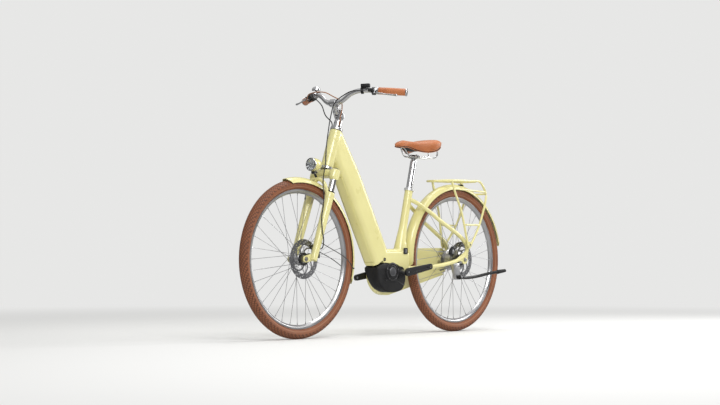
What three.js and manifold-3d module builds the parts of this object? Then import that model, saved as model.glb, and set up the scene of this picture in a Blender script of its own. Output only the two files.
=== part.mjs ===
// A step-through electric city bike with fenders, rack, chain case and swept handlebar.
// Millimetres: +X is forward, +Y is the rider's left and +Z is up. Places are worked out from
// the rear axle at X = 0 and the ground at Z = 0, and the last line centres the bike.
import * as THREE from "three";
import { mergeVertices } from "three/addons/utils/BufferGeometryUtils.js";
import Module from "manifold-3d";

const wasm = await Module();
wasm.setup();

// Driving dimensions
const wheelbase = 1144;
const wheelRadius = 361;
const tyreWidth = 49;
const beadRadius = 311;
const headAngle = 70;
const forkOffset = 37.4;
const crownClearance = 91;
const crownGap = 13;
const forkTravel = 50;
const headTubeLength = 184;
const headTubeRadius = 29;
const steererRadius = 14.3;
const bottomBracketAhead = 471;
const bottomBracketHeight = 300;
const seatAngle = 76;
const seatTubeSetback = 17;
const seatTubeLength = 422;
const seatTubeRadius = 20;
const seatPostRadius = 15.8;
const downTubeDepth = 118;
const downTubeWidth = 88;
const downTubeFootAhead = 71.85;
const downTubeFootRise = 86.07;
const dropoutWidth = 134;
const forkLegSpread = 61;
const crankLength = 170;
const pedalFaceSpread = 97;
const chainPitch = 12.7;
const chainringTeeth = 38;
const sprocketTeeth = 20;
const barWidth = 644;
const barRadius = 11.1;
const rackHeight = 760;

// Clearances and resolution
const fit = 0.3;
const overrun = 4;
const weld = 0.001;
const wheelSegments = 28;
const roundSides = 12;
const tubeSides = 8;
const wireSides = 6;
const flatShare = Math.cos(Math.PI / wheelSegments);

// Colours, roughness and metalness
const creamPaint = new THREE.MeshStandardMaterial({ color: 0xe3dca3, roughness: 0.25, metalness: 0 });
const blackPlastic = new THREE.MeshStandardMaterial({ color: 0x1c1c1e, roughness: 0.55, metalness: 0 });
const blackMetal = new THREE.MeshStandardMaterial({ color: 0x2a2a2c, roughness: 0.4, metalness: 0.6 });
const chrome = new THREE.MeshStandardMaterial({ color: 0xd8d8dc, roughness: 0.12, metalness: 1 });
const silver = new THREE.MeshStandardMaterial({ color: 0xb4b5b8, roughness: 0.35, metalness: 0.9 });
const brownRubber = new THREE.MeshStandardMaterial({ color: 0x7d4526, roughness: 0.8, metalness: 0 });
const brownLeather = new THREE.MeshStandardMaterial({ color: 0xa5562c, roughness: 0.6, metalness: 0 });
const clearLens = new THREE.MeshStandardMaterial({ color: 0xe8ecee, roughness: 0.1, metalness: 0 });

const bike = new THREE.Group();
const chainringRadius = chainPitch / 2 / Math.sin(Math.PI / chainringTeeth);
const sprocketRadius = chainPitch / 2 / Math.sin(Math.PI / sprocketTeeth);

// Directions and places that several pieces share
const point = (x, y, z) => new THREE.Vector3(x, y, z);
const radians = (angle) => (angle * Math.PI) / 180;
const side = point(0, 1, 0);
const upright = point(0, 0, 1);
const ahead = point(1, 0, 0);
const leaning = (angle) => point(-Math.cos(radians(angle)), 0, Math.sin(radians(angle)));
const squareTo = (angle) => point(Math.sin(radians(angle)), 0, Math.cos(radians(angle)));
const steerUp = leaning(headAngle);
const steerAhead = squareTo(headAngle);
const seatUp = leaning(seatAngle);
const seatAhead = squareTo(seatAngle);
const rearAxle = point(0, 0, wheelRadius);
const frontAxle = point(wheelbase, 0, wheelRadius);
const bottomBracket = point(bottomBracketAhead, 0, bottomBracketHeight);

// A point reached from a start by steps along directions: from(start, [direction, distance], ...)
function from(start, ...steps) {
  const reached = start.clone();
  for (const [direction, distance] of steps) {
    reached.addScaledVector(direction, distance);
  }
  return reached;
}

// The fork is as long as the wheel needs, and the crown hangs below the head tube
const crownDrop = headTubeLength + crownGap;
const steeringLength = wheelRadius + crownClearance + crownDrop;
const headTop = from(frontAxle, [steerAhead, -forkOffset], [steerUp, steeringLength]);
const onSteering = (rise, forward = 0, left = 0) =>
  from(headTop, [steerUp, rise], [steerAhead, forward], [side, left]);
const onSeatTube = (rise, forward = 0, left = 0) =>
  from(bottomBracket, [ahead, -seatTubeSetback], [seatUp, rise], [seatAhead, forward], [side, left]);

// Left is 1 for the left side and -1 for the right; a span is put in rising order along Y
const span = (left, near, far) => (left > 0 ? [near, far] : [-far, -near]);

// Solids
function facingOut(geometry) {
  const places = geometry.attributes.position.array;
  const corners = geometry.index.array;
  const corner = (slot) => new THREE.Vector3().fromArray(places, corners[slot] * 3);
  let volume = 0;
  for (let slot = 0; slot < corners.length; slot += 3) {
    volume += corner(slot).dot(corner(slot + 1).cross(corner(slot + 2)));
  }
  if (volume < 0) {
    for (let slot = 0; slot < corners.length; slot += 3) {
      [corners[slot], corners[slot + 1]] = [corners[slot + 1], corners[slot]];
    }
  }
  return geometry;
}

function solid(geometry) {
  const bare = geometry.clone();
  bare.deleteAttribute("normal");
  bare.deleteAttribute("uv");
  const merged = facingOut(mergeVertices(bare, weld));
  const vertProperties = new Float32Array(merged.attributes.position.array);
  const triVerts = new Uint32Array(merged.index.array);
  return new wasm.Manifold(new wasm.Mesh({ numProp: 3, vertProperties, triVerts }));
}

const joined = (...bodies) => bodies.reduce((whole, body) => whole.add(body));
const cut = (body, ...tools) => tools.reduce((rest, tool) => rest.subtract(tool), body);

function part(name, body, material) {
  const { vertProperties, triVerts } = body.getMesh();
  const geometry = new THREE.BufferGeometry();
  geometry.setAttribute("position", new THREE.BufferAttribute(new Float32Array(vertProperties), 3));
  geometry.setIndex(new THREE.BufferAttribute(new Uint32Array(triVerts), 1));
  geometry.computeVertexNormals();
  const mesh = new THREE.Mesh(geometry, material);
  mesh.name = name;
  bike.add(mesh);
}

// A round bar between two points, tapered where the far radius differs
function rod(start, end, radius, sides = roundSides, endRadius = radius) {
  const run = end.clone().sub(start);
  const geometry = new THREE.CylinderGeometry(endRadius, radius, run.length(), sides);
  const turn = new THREE.Quaternion().setFromUnitVectors(side, run.clone().normalize());
  geometry.applyQuaternion(turn);
  const middle = start.clone().add(end).divideScalar(2);
  geometry.translate(middle.x, middle.y, middle.z);
  return solid(geometry);
}

// The radius of a faceted bore that clears a round of the given radius all the way round
const bored = (radius, sides = roundSides) => (radius + fit) / Math.cos(Math.PI / sides);

// A round ring or disc about an axis that runs along Y
const axleRod = (centre, low, high, radius, sides = roundSides, endRadius = radius) =>
  rod(from(centre, [side, low]), from(centre, [side, high]), radius, sides, endRadius);

function ringPoints(radius, sides) {
  const corners = [];
  for (let count = 0; count < sides; count += 1) {
    const angle = (count / sides) * 2 * Math.PI;
    corners.push(new THREE.Vector2(radius * Math.cos(angle), radius * Math.sin(angle)));
  }
  return corners;
}

// A round tube along a smooth route
function tube(route, radius, steps, sides = tubeSides) {
  const path = new THREE.CatmullRomCurve3(route, false, "centripetal");
  const section = new THREE.Shape(ringPoints(radius, sides));
  return solid(new THREE.ExtrudeGeometry(section, { steps, extrudePath: path, bevelEnabled: false }));
}

// A rectangle with round corners, as a ring of points that runs once round
function roundedRing(halfAcross, halfUp, corner, perCorner = 3) {
  const radius = Math.min(corner, halfAcross, halfUp);
  const ring = [];
  for (const [turn, signAcross, signUp] of [[0, 1, 1], [1, -1, 1], [2, -1, -1], [3, 1, -1]]) {
    for (let count = 0; count <= perCorner; count += 1) {
      const angle = (turn + count / perCorner) * (Math.PI / 2);
      const across = signAcross * (halfAcross - radius) + radius * Math.cos(angle);
      const up = signUp * (halfUp - radius) + radius * Math.sin(angle);
      ring.push(new THREE.Vector2(across, up));
    }
  }
  return ring;
}

const placedRing = (ring, centre, across, up) =>
  ring.map((spot) => from(centre, [across, spot.x], [up, spot.y]));

// A closed body through a row of rings that have the same count of points
function loft(rings, outline) {
  const count = outline.length;
  const positions = rings.flat().flatMap((spot) => spot.toArray());
  const index = [];
  for (let row = 0; row + 1 < rings.length; row += 1) {
    for (let column = 0; column < count; column += 1) {
      const near = row * count + column;
      const next = row * count + ((column + 1) % count);
      index.push(near, next, near + count, next, next + count, near + count);
    }
  }
  const last = (rings.length - 1) * count;
  const sense = Math.sign(THREE.ShapeUtils.area(outline));
  for (const face of THREE.ShapeUtils.triangulateShape(outline.map((spot) => spot.clone()), [])) {
    const along = Math.sign(THREE.ShapeUtils.area(face.map((corner) => outline[corner]))) === sense;
    const [a, b, c] = along ? face : [face[0], face[2], face[1]];
    index.push(a, c, b, last + a, last + b, last + c);
  }
  const geometry = new THREE.BufferGeometry();
  geometry.setAttribute("position", new THREE.Float32BufferAttribute(positions, 3));
  geometry.setIndex(index);
  return solid(geometry);
}

// A straight block of one section between two points
const block = (start, end, ring, across, up) =>
  loft([start, end].map((centre) => placedRing(ring, centre, across, up)), ring);

// An outline in the X-Z plane, made into a plate between two places on Y
function plate(outline, low, high, holes = [], bevel = 0) {
  const shape = new THREE.Shape(outline);
  shape.holes = holes.map((hole) => new THREE.Path(hole));
  const edge = { bevelEnabled: bevel > 0, bevelThickness: bevel, bevelSize: bevel, bevelOffset: -bevel };
  const depth = high - low - 2 * bevel;
  const geometry = new THREE.ExtrudeGeometry(shape, { depth, steps: 1, bevelSegments: 2, ...edge });
  geometry.rotateX(Math.PI / 2);
  geometry.translate(0, high - bevel, 0);
  return solid(geometry);
}

// An outline given in shares of a length and a height about a centre
const sharedOutline = (shares, centre, length, height) =>
  shares.map(([along, up]) => new THREE.Vector2(centre.x + along * length, centre.z + up * height));

// The same outline moved outwards by a clearance
function grown(outline, clearance) {
  const sense = Math.sign(THREE.ShapeUtils.area(outline));
  return outline.map((spot, slot) => {
    const before = outline[(slot + outline.length - 1) % outline.length];
    const after = outline[(slot + 1) % outline.length];
    const first = spot.clone().sub(before).normalize();
    const second = after.clone().sub(spot).normalize();
    const out = new THREE.Vector2(first.y + second.y, -first.x - second.x).multiplyScalar(sense);
    const stretch = 2 / (1 + first.dot(second));
    return spot.clone().addScaledVector(out, (clearance * stretch) / 2);
  });
}

// Two circles with their outer tangents, as one closed outline
const beltSteps = 10;

function beltOutline(front, frontRadius, rear, rearRadius, steps = beltSteps) {
  const run = new THREE.Vector2(front.x - rear.x, front.z - rear.z);
  const lean = Math.atan2(run.y, run.x);
  const spread = Math.acos((rearRadius - frontRadius) / run.length());
  const outline = [];
  for (let count = 0; count <= steps; count += 1) {
    const angle = lean - spread + (2 * spread * count) / steps;
    outline.push(arcPoint(front, frontRadius, angle));
  }
  for (let count = 0; count <= steps; count += 1) {
    const angle = lean + spread + (2 * (Math.PI - spread) * count) / steps;
    outline.push(arcPoint(rear, rearRadius, angle));
  }
  return outline;
}

const arcPoint = (centre, radius, angle) =>
  new THREE.Vector2(centre.x + radius * Math.cos(angle), centre.z + radius * Math.sin(angle));

const arcSpot = (centre, radius, angle, left) =>
  point(centre.x + radius * Math.cos(radians(angle)), left, centre.z + radius * Math.sin(radians(angle)));

// A profile of radius and place on Y, turned about an axle
function turned(profile, centre, segments = wheelSegments) {
  const spots = profile.map(([radius, across]) => new THREE.Vector2(radius, across));
  const geometry = new THREE.LatheGeometry(spots, segments);
  geometry.translate(centre.x, 0, centre.z);
  return solid(geometry);
}

// A section of radius and place on Y, carried round part of a circle about an axle
function arched(section, centre, startAngle, endAngle, steps) {
  const outline = section.map(([radius, across]) => new THREE.Vector2(radius, across));
  const rings = [];
  for (let count = 0; count <= steps; count += 1) {
    const angle = radians(startAngle + ((endAngle - startAngle) * count) / steps);
    rings.push(outline.map((spot) =>
      point(centre.x + spot.x * Math.cos(angle), spot.y, centre.z + spot.x * Math.sin(angle))));
  }
  return loft(rings, outline);
}

// Wheels: tyre, rim, hub with its spokes, and brake disc
const rimFlange = 6;
const rimDepth = 20;
const rimWidth = 25;
const rimWall = 2.6;
const rimNoseShare = 0.45;
const tyreBulgeShares = [[0.3, 0.84], [0.6, 1], [0.88, 0.68]];

function tyreProfile() {
  const half = tyreWidth / 2;
  const height = wheelRadius - beadRadius;
  const seat = rimWidth / 2 - rimWall - fit;
  const left = tyreBulgeShares.map(([up, out]) => [beadRadius + up * height, out * half]);
  const right = left.map(([radius, across]) => [radius, -across]).reverse();
  const bead = beadRadius + fit;
  const lip = beadRadius + rimFlange + fit;
  return [[bead, -seat], [bead, seat], [lip, seat], ...left, [wheelRadius, 0], ...right, [lip, -seat],
    [bead, -seat]];
}

function rimProfile() {
  const half = rimWidth / 2;
  const inner = half - rimWall;
  const lip = beadRadius + rimFlange;
  const foot = lip - rimDepth;
  const nose = foot + rimDepth * rimNoseShare;
  return [[beadRadius, -inner], [lip, -inner], [lip, -half], [nose, -half], [foot, 0],
    [nose, half], [lip, half], [lip, inner], [beadRadius, inner], [beadRadius, -inner]];
}

const spokeRadius = 1.2;
const spokeSeat = 2;
const spokeCrossing = 1.8;

function hubWithSpokes(centre, shape) {
  const { profile, flangeRadius, flangeSpread, spokes, crossing, bore } = shape;
  const reach = (beadRadius + rimFlange - rimDepth) * flatShare - 2 * fit;
  const bodies = [turned(profile, centre, roundSides)];
  for (let count = 0; count < spokes; count += 1) {
    const left = count % 2 === 0 ? 1 : -1;
    const trailing = count % 4 < 2 ? 1 : -1;
    const rimAngle = (count / spokes) * 2 * Math.PI;
    const hubAngle = rimAngle + trailing * radians(crossing);
    const foot = arcPoint(centre, flangeRadius - spokeSeat, hubAngle);
    const head = arcPoint(centre, reach, rimAngle);
    const start = point(foot.x, (left * flangeSpread) / 2 + trailing * spokeCrossing, foot.y);
    bodies.push(rod(start, point(head.x, left * spokeRadius, head.y), spokeRadius, 3));
  }
  return cut(joined(...bodies), axleRod(centre, -flangeSpread - bore, flangeSpread + bore, bore));
}

const brakeDiscRadius = 90;
const brakeDiscThick = 1.8;
const brakeDiscSegments = 20;

function brakeDisc(centre, place, seatRadius) {
  const band = 14;
  const carrier = 30;
  const armWidth = 9;
  const arms = 4;
  const low = place - brakeDiscThick / 2;
  const high = place + brakeDiscThick / 2;
  const circle = (radius) => ringPoints(radius, brakeDiscSegments)
    .map((spot) => new THREE.Vector2(centre.x + spot.x, centre.z + spot.y));
  const ring = plate(circle(brakeDiscRadius), low, high, [circle(brakeDiscRadius - band)]);
  const bodies = [ring, axleRod(centre, low, high, carrier)];
  for (let count = 0; count < arms; count += 1) {
    const angle = (count / arms) * 2 * Math.PI;
    const lean = angle + Math.PI / arms;
    const start = arcPoint(centre, carrier - armWidth / 2, angle);
    const end = arcPoint(centre, brakeDiscRadius - band / 2, lean);
    bodies.push(bar(start, end, armWidth, low, high));
  }
  return cut(joined(...bodies), axleRod(centre, low - overrun, high + overrun, seatRadius + fit));
}

// A flat bar between two places in the X-Z plane
function bar(start, end, width, low, high) {
  const along = end.clone().sub(start).normalize();
  const across = new THREE.Vector2(-along.y, along.x).multiplyScalar(width / 2);
  const near = [start.clone().sub(across), end.clone().sub(across)];
  const far = [end.clone().add(across), start.clone().add(across)];
  return plate([...near, ...far], low, high);
}

const axleRadius = 5;
const axleBore = axleRadius + fit;
const frontRotorPlace = 38;
const rearRotorPlace = 46;
const rotorSeatRadius = 19;
const flangeThick = 4;

function buildWheels() {
  for (const [end, centre, shape, place] of [
    ["front", frontAxle, frontHubShape(), frontRotorPlace],
    ["rear", rearAxle, rearHubShape(), rearRotorPlace],
  ]) {
    part(`${end}_tyre`, turned(tyreProfile(), centre), brownRubber);
    part(`${end}_rim`, turned(rimProfile(), centre), silver);
    part(`${end}_hub`, hubWithSpokes(centre, shape), silver);
    part(`${end}_brake_disc`, brakeDisc(centre, place, rotorSeatRadius), silver);
  }
}

function frontHubShape() {
  const barrel = 19;
  const flangeRadius = 29;
  const flangeSpread = 54;
  const leftEnd = frontRotorPlace + brakeDiscThick;
  const rightEnd = 42;
  const capRadius = 11;
  const outer = flangeSpread / 2 + flangeThick / 2;
  const inner = flangeSpread / 2 - flangeThick / 2;
  const profile = [[0, -rightEnd], [capRadius, -rightEnd], [barrel, -outer], [flangeRadius, -outer],
    [flangeRadius, -inner], [barrel, -inner], [barrel, inner], [flangeRadius, inner], [flangeRadius, outer],
    [rotorSeatRadius, outer], [rotorSeatRadius, leftEnd], [0, leftEnd]];
  return { profile, flangeRadius, flangeSpread, spokes: 36, crossing: 55, bore: axleBore };
}

function rearHubShape() {
  const barrel = 44;
  const flangeRadius = 52;
  const flangeSpread = 60;
  const leftEnd = rearRotorPlace + brakeDiscThick;
  const rightEnd = 47;
  const driver = 26;
  const outer = flangeSpread / 2 + flangeThick / 2;
  const inner = flangeSpread / 2 - flangeThick / 2;
  const profile = [[0, -rightEnd], [driver, -rightEnd], [driver, -outer - flangeThick], [barrel, -outer],
    [flangeRadius, -outer], [flangeRadius, -inner], [barrel, -inner], [barrel, inner], [flangeRadius, inner],
    [flangeRadius, outer], [rotorSeatRadius, outer + flangeThick], [rotorSeatRadius, leftEnd], [0, leftEnd]];
  return { profile, flangeRadius, flangeSpread, spokes: 36, crossing: 40, bore: axleBore };
}

// Frame: head tube, deep down tube, seat tube and the low step over the motor
const motorLength = 215;
const motorHeight = 140;
const motorWidth = 84;
const motorEdge = 8;
const motorShares = [[0.786, 0.157], [0.749, -0.271], [0.6, -0.557], [0.414, -0.679], [0.135, -0.686],
  [-0.098, -0.586], [-0.2, -0.271], [-0.19, -0.057], [-0.074, 0.129], [0.135, 0.271], [0.507, 0.321],
  [0.7, 0.243]];
const motorOutline = sharedOutline(motorShares, bottomBracket, motorLength, motorHeight);

const motorCoverRadius = 44;
const motorCoverAhead = 60;
const motorCoverRise = 2;
const motorCoverSides = 20;
const motorCoverCentre = from(bottomBracket, [ahead, motorCoverAhead], [upright, motorCoverRise]);
const spindleBossRadius = 27;

const stepHeight = 111;
const stepWidth = 90;
const stepLength = 200;
const stepEdge = 9;
const stepShares = [[0.5, 1.45], [0.38, 1.22], [0.3, 1.06], [0.22, 1], [0.03, 1], [-0.05, 1.08],
  [-0.14, 1.3],
  [-0.36, 1.3], [-0.36, 0.9], [-0.35, 0.4], [-0.3, 0.1], [-0.1, -0.02], [0, -0.02], [0.3, 0.3],
  [0.62, 0.4], [0.6, 0.75]];

// Height, depth and width of the seat tube, which swells where it meets the step
const seatTubeShares = [[0.213, 1.5, 1.6], [0.308, 1.4, 1.4], [0.415, 1.25, 1.2], [0.569, 1, 1], [1, 1, 1]];

function seatTubeBody(extra = 0) {
  const rings = seatTubeShares.map(([rise, depth, width]) => {
    const halfDepth = depth * seatTubeRadius + extra;
    const halfWidth = width * seatTubeRadius + extra;
    const ring = ringPoints(1, roundSides).map((spot) => new THREE.Vector2(spot.x * halfDepth,
      spot.y * halfWidth));
    return placedRing(ring, onSeatTube(rise * seatTubeLength), seatAhead, side);
  });
  return loft(rings, ringPoints(1, roundSides));
}

const stepBody = (extra = 0) => {
  const outline = grown(sharedOutline(stepShares, bottomBracket, stepLength, stepHeight), extra);
  return plate(outline, -stepWidth / 2 - extra, stepWidth / 2 + extra, [], stepEdge);
};

// The rear edge of the down tube runs from behind the head tube to a foot above the motor
const downTubeSeatShare = 0.93;
const downTubeHead = from(headTop, [ahead, -headTubeRadius * downTubeSeatShare]);
const downTubeFoot = from(bottomBracket, [ahead, downTubeFootAhead], [upright, downTubeFootRise]);
const downTubeLength = downTubeHead.distanceTo(downTubeFoot);
const downTubeUp = downTubeHead.clone().sub(downTubeFoot).normalize();
const downTubeAhead = point(downTubeUp.z, 0, -downTubeUp.x);
const downTubeRear = (run) => from(downTubeHead, [downTubeUp, -run]);
const downTubeShares = [[0.008, 0.76, 0.6], [0.1, 0.9, 0.69], [0.2, 1, 0.84], [0.32, 1, 0.97],
  [0.42, 1, 1], [1, 1, 1]];

function downTubeBody() {
  const corner = 30;
  const rings = downTubeShares.map(([run, depth, width]) => {
    const half = (downTubeDepth * depth) / 2;
    const ring = roundedRing(half, (downTubeWidth * width) / 2, corner, 2);
    const centre = from(downTubeRear(run * downTubeLength), [downTubeAhead, half]);
    return placedRing(ring, centre, downTubeAhead, side);
  });
  return loft(rings, roundedRing(downTubeDepth, downTubeWidth, corner, 2));
}

const batteryWidth = 58;
const batteryStartShare = 0.28;
const batteryEndShare = 0.97;
const batteryDepth = 66;
const batteryCorner = 9;

function batteryBody(extra) {
  const face = downTubeDepth + (extra > 0 ? overrun : -fit);
  const deep = downTubeDepth - batteryDepth;
  const ring = roundedRing((face - deep + extra) / 2, batteryWidth / 2 + extra, batteryCorner, 1);
  const rings = [batteryStartShare * downTubeLength - extra,
    batteryEndShare * downTubeLength + extra].map((run) =>
    placedRing(ring, from(downTubeRear(run), [downTubeAhead, (face + deep - extra) / 2]), downTubeAhead,
    side));
  return loft(rings, ring);
}

const headsetHeight = 12;

function buildFrame() {
  const postDepth = 270;
  const head = rod(onSteering(-headTubeLength), onSteering(0), headTubeRadius, motorCoverSides);
  const body = joined(head, downTubeBody(), seatTubeBody(), stepBody());
  const steererBore = rod(onSteering(-headTubeLength - overrun), onSteering(overrun), bored(steererRadius));
  const postBore = rod(onSeatTube(seatTubeLength - postDepth), onSeatTube(seatTubeLength + overrun),
    seatPostRadius + fit);
  const motorRoom = joined(plate(grown(motorOutline, fit), -stepWidth, stepWidth),
    axleRod(motorCoverCentre, 0, stepWidth, motorCoverRadius + fit, motorCoverSides),
    axleRod(bottomBracket, -stepWidth, stepWidth, spindleBossRadius + fit));
  const coverRoom = rod(onSteering(0), onSteering(headTubeLength / 2), downTubeWidth);
  part("frame", cut(body, steererBore, postBore, motorRoom, coverRoom, batteryBody(fit)), creamPaint);
  part("battery", batteryBody(0), creamPaint);
  const lip = 2;
  const cup = (low, high, radius) => cut(rod(onSteering(low), onSteering(high), radius),
    rod(onSteering(low - overrun), onSteering(high + overrun), bored(steererRadius)));
  part("headset_lower", cup(-headTubeLength - headsetHeight, -headTubeLength - fit, headTubeRadius + lip),
    silver);
  part("headset_cover", cup(fit, headsetHeight + fit, headTubeRadius), silver);
}

// Rear stays: each side is one bent tube that loops round above the dropout
const stayRadius = 10.5;
const staySpread = 65;
const stayTop = 366;
const stayLoop = 131;
const chainStaySetback = 62;
const chainStayRise = 18;
const dropoutPlate = 6;
const dropoutLength = 78;
const seatStayShares = [[0, 0, 0.215], [0.11, 0.098, 0.46], [0.364, 0.344, 0.69], [0.584, 0.595, 0.83]];
const stayLoopShares = [[0.435, 1], [0.082, 0.794], [-0.153, 0.573], [-0.198, 0.374], [-0.046, 0.168],
  [0.29, 0.015], [0.58, -0.076]];
const chainStayShares = [[0.646, 0.39, 0.877], [0.315, 0.12, 0.692], [0, 0, 0.523]];
const dropoutShares = [[-0.41, 0.795], [-0.256, -0.154], [-0.103, -0.282], [0.128, -0.282], [0.359, -0.103],
  [1, -0.18], [0.77, 0.077], [0.205, 0.385]];

// Places between two ends, with the spread in shares of the widest
const between = (start, end, left) => ([along, up, out]) =>
  point(start.x + along * (end.x - start.x), left * out * staySpread, start.z + up * (end.z - start.z));

const stayLoopRoute = (left) => stayLoopShares.map(([along, up]) =>
  from(rearAxle, [ahead, along * stayLoop], [upright, up * stayLoop], [side, left * staySpread]));

function chainStayRoute(left) {
  const start = from(bottomBracket, [ahead, -chainStaySetback], [upright, chainStayRise]);
  const loop = stayLoopRoute(left);
  return [...loop.slice(-2), ...chainStayShares.map(between(start, loop[loop.length - 1], left))];
}

function buildStays() {
  const inner = dropoutWidth / 2;
  for (const [name, left] of [["stay_left", 1], ["stay_right", -1]]) {
    const loop = stayLoopRoute(left);
    const seatStay = seatStayShares.map(between(onSeatTube(stayTop), loop[0], left));
    const route = [...seatStay, ...loop, ...chainStayRoute(left).slice(2)];
    const outline = sharedOutline(dropoutShares, rearAxle, dropoutLength, dropoutLength);
    const dropout = plate(outline, ...span(left, inner, inner + dropoutPlate));
    const body = joined(tube(route, stayRadius, 26), dropout);
    const bore = axleRod(rearAxle, -dropoutWidth, dropoutWidth, axleBore);
    part(name, cut(body, bore, seatTubeBody(fit), stepBody(fit)), creamPaint);
  }
}

// Motor with its round left cover and the bosses round the spindle
const spindleRadius = 12;

function buildMotor() {
  const coverThick = 7;
  const bossThick = 5;
  const half = motorWidth / 2;
  const cover = axleRod(motorCoverCentre, half - overrun, half + coverThick, motorCoverRadius,
    motorCoverSides,
    motorCoverRadius - coverThick);
  const boss = axleRod(bottomBracket, -half - bossThick, half + bossThick, spindleBossRadius);
  const body = joined(plate(motorOutline, -half, half, [], motorEdge), cover, boss);
  part("motor", cut(body, axleRod(bottomBracket, -motorWidth, motorWidth, bored(spindleRadius))),
    blackPlastic);
}

// Cranks, spindle, chainring, sprocket, chain and chain case
const chainLine = 50.6;
const toothReach = 2.2;
const chainThick = 5;
const chainWidth = 6;
const ringThick = 3;
const caseInner = 45;
const caseOuter = 81;
const caseWall = 1.6;
const crankInner = 85;
const crankAngle = 171;

function toothedDisc(centre, radius, teeth, bore) {
  const outline = [];
  for (let count = 0; count < teeth; count += 1) {
    for (const [turn, rise] of [[0.3, 1], [0.7, -1]]) {
      outline.push(arcPoint(centre, radius + rise * toothReach, ((count + turn) / teeth) * 2 * Math.PI));
    }
  }
  const disc = plate(outline, -chainLine - ringThick / 2, -chainLine + ringThick / 2);
  return cut(disc, axleRod(centre, -chainLine - ringThick, -chainLine + ringThick, bore));
}

function buildDrive() {
  const windows = 4;
  const windowRadius = 16;
  const windowPlace = 46;
  const windowSides = 8;
  const through = [-chainLine - ringThick, -chainLine + ringThick];
  let ring = toothedDisc(bottomBracket, chainringRadius, chainringTeeth, spindleRadius + fit);
  for (let count = 0; count < windows; count += 1) {
    const spot = arcPoint(bottomBracket, windowPlace, (count / windows) * 2 * Math.PI);
    ring = cut(ring, axleRod(point(spot.x, 0, spot.y), ...through, windowRadius, windowSides));
  }
  part("chainring", ring, blackMetal);
  part("sprocket", toothedDisc(rearAxle, sprocketRadius, sprocketTeeth, axleBore), blackMetal);
  const sag = chainringRadius * (1 - Math.cos(Math.PI / beltSteps / 2));
  const inside = toothReach + fit + 2 * sag;
  const band = (extra) => beltOutline(bottomBracket, chainringRadius + extra, rearAxle,
    sprocketRadius + extra);
  const places = [-chainLine - chainWidth / 2, -chainLine + chainWidth / 2];
  part("chain", plate(band(inside + chainThick), ...places, [band(inside)]), blackMetal);
  part("spindle", axleRod(bottomBracket, -pedalFaceSpread + fit, pedalFaceSpread - fit, spindleRadius),
    blackMetal);
  for (const [name, left, angle] of [["crank_left", 1, crankAngle], ["crank_right", -1, crankAngle + 180]]) {
    part(name, crankArm(left, radians(angle)), blackMetal);
  }
}

function crankArm(left, angle) {
  const bossRadius = 19;
  const endRadius = 14;
  const edge = 3;
  const places = span(left, crankInner, pedalFaceSpread);
  const eye = arcPoint(bottomBracket, crankLength, angle);
  const body = plate(beltOutline(bottomBracket, bossRadius, point(eye.x, 0, eye.y), endRadius, 8),
    ...places, [], edge);
  return cut(body, axleRod(bottomBracket, places[0] - overrun, places[1] + overrun, spindleRadius + fit));
}

function buildChainCase() {
  const frontRadius = 112;
  const rearRadius = 66;
  const openRadius = 78;
  const bossRoom = 31;
  const setAhead = 14;
  const drop = 6;
  const stayGap = 2;
  const sides = 24;
  const rearCentre = from(rearAxle, [ahead, setAhead], [upright, -drop]);
  const outline = beltOutline(bottomBracket, frontRadius, rearCentre, rearRadius);
  const inside = beltOutline(bottomBracket, frontRadius - caseWall, rearCentre, rearRadius - caseWall);
  const cover = plate(outline, -caseOuter, -caseOuter + caseWall);
  const wall = cut(plate(outline, -caseOuter, -caseInner, [inside]),
    axleRod(rearAxle, -caseOuter + caseWall, 0, openRadius + overrun, sides));
  const back = cut(plate(outline, -caseInner - caseWall, -caseInner),
    axleRod(rearAxle, -caseOuter, 0, openRadius, sides),
    axleRod(bottomBracket, -caseOuter, 0, bossRoom));
  const stayRoom = tube(chainStayRoute(-1), stayRadius + stayGap, 12);
  const spindleRoom = axleRod(bottomBracket, -caseOuter - overrun, 0, spindleRadius + overrun);
  part("chain_case", cut(joined(cover, wall, back), stayRoom, spindleRoom), creamPaint);
}

// Fenders and rear axle
const frontFenderRadius = 373;
const rearFenderRadius = 382;
const fenderEdgeDrop = 27;
const fenderHalfWidth = 30;
const fenderThick = 2;
const fenderShares = [[1, 0], [0.72, 0.6], [0, 1]];
const fenderSteps = 20;

function fenderBody(centre, radius, startAngle, endAngle) {
  const edge = radius - fenderEdgeDrop;
  const curve = (top, width) => fenderShares.map(([up, out]) => [edge + (top - edge) * up, width * out]);
  const across = (rows) => [...rows.slice(1).reverse().map(([high, out]) => [high, -out]), ...rows];
  const outside = across(curve(radius, fenderHalfWidth));
  const inside = across(curve(radius - fenderThick, fenderHalfWidth - fenderThick));
  return arched([...outside, ...inside.reverse()], centre, startAngle, endAngle, fenderSteps);
}

function axleWithNuts(centre, nutOffset) {
  const nutRadius = 10;
  const nutThick = 5;
  const half = nutOffset + nutThick + fit;
  const bodies = [axleRod(centre, -half, half, axleRadius)];
  for (const low of [nutOffset, -nutOffset - nutThick]) {
    bodies.push(axleRod(centre, low, low + nutThick, nutRadius, wireSides));
  }
  return joined(...bodies);
}

function buildRearEnd() {
  part("rear_fender", fenderBody(rearAxle, rearFenderRadius, -6, 169), creamPaint);
  part("rear_axle", axleWithNuts(rearAxle, dropoutWidth / 2 + dropoutPlate + fit), silver);
}

// Seat clamp, seat post with its rail cradle, rails and saddle
const seatPostRise = 575;
const seatPostBelow = 285;
const railHeight = 9;
const railRadius = 3.5;
const railSpread = 22;
const railLength = 244;
const railDrop = 57;
const railShares = [[-0.537, 1, 1.45], [-0.594, 0.63, 1.36], [-0.611, 0.26, 1.23], [-0.53, 0, 1.09],
  [-0.225, 0, 1],
  [0.1, -0.02, 1], [0.234, 0.05, 0.73], [0.357, 0.67, 0.45]];
const railNoseShare = 0.38;
const railTopShare = 0.74;
const saddleLength = 286;
const saddleWidth = 190;
const saddleHeight = 65;
const saddleTop = 955;
const saddleNose = 461;

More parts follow.
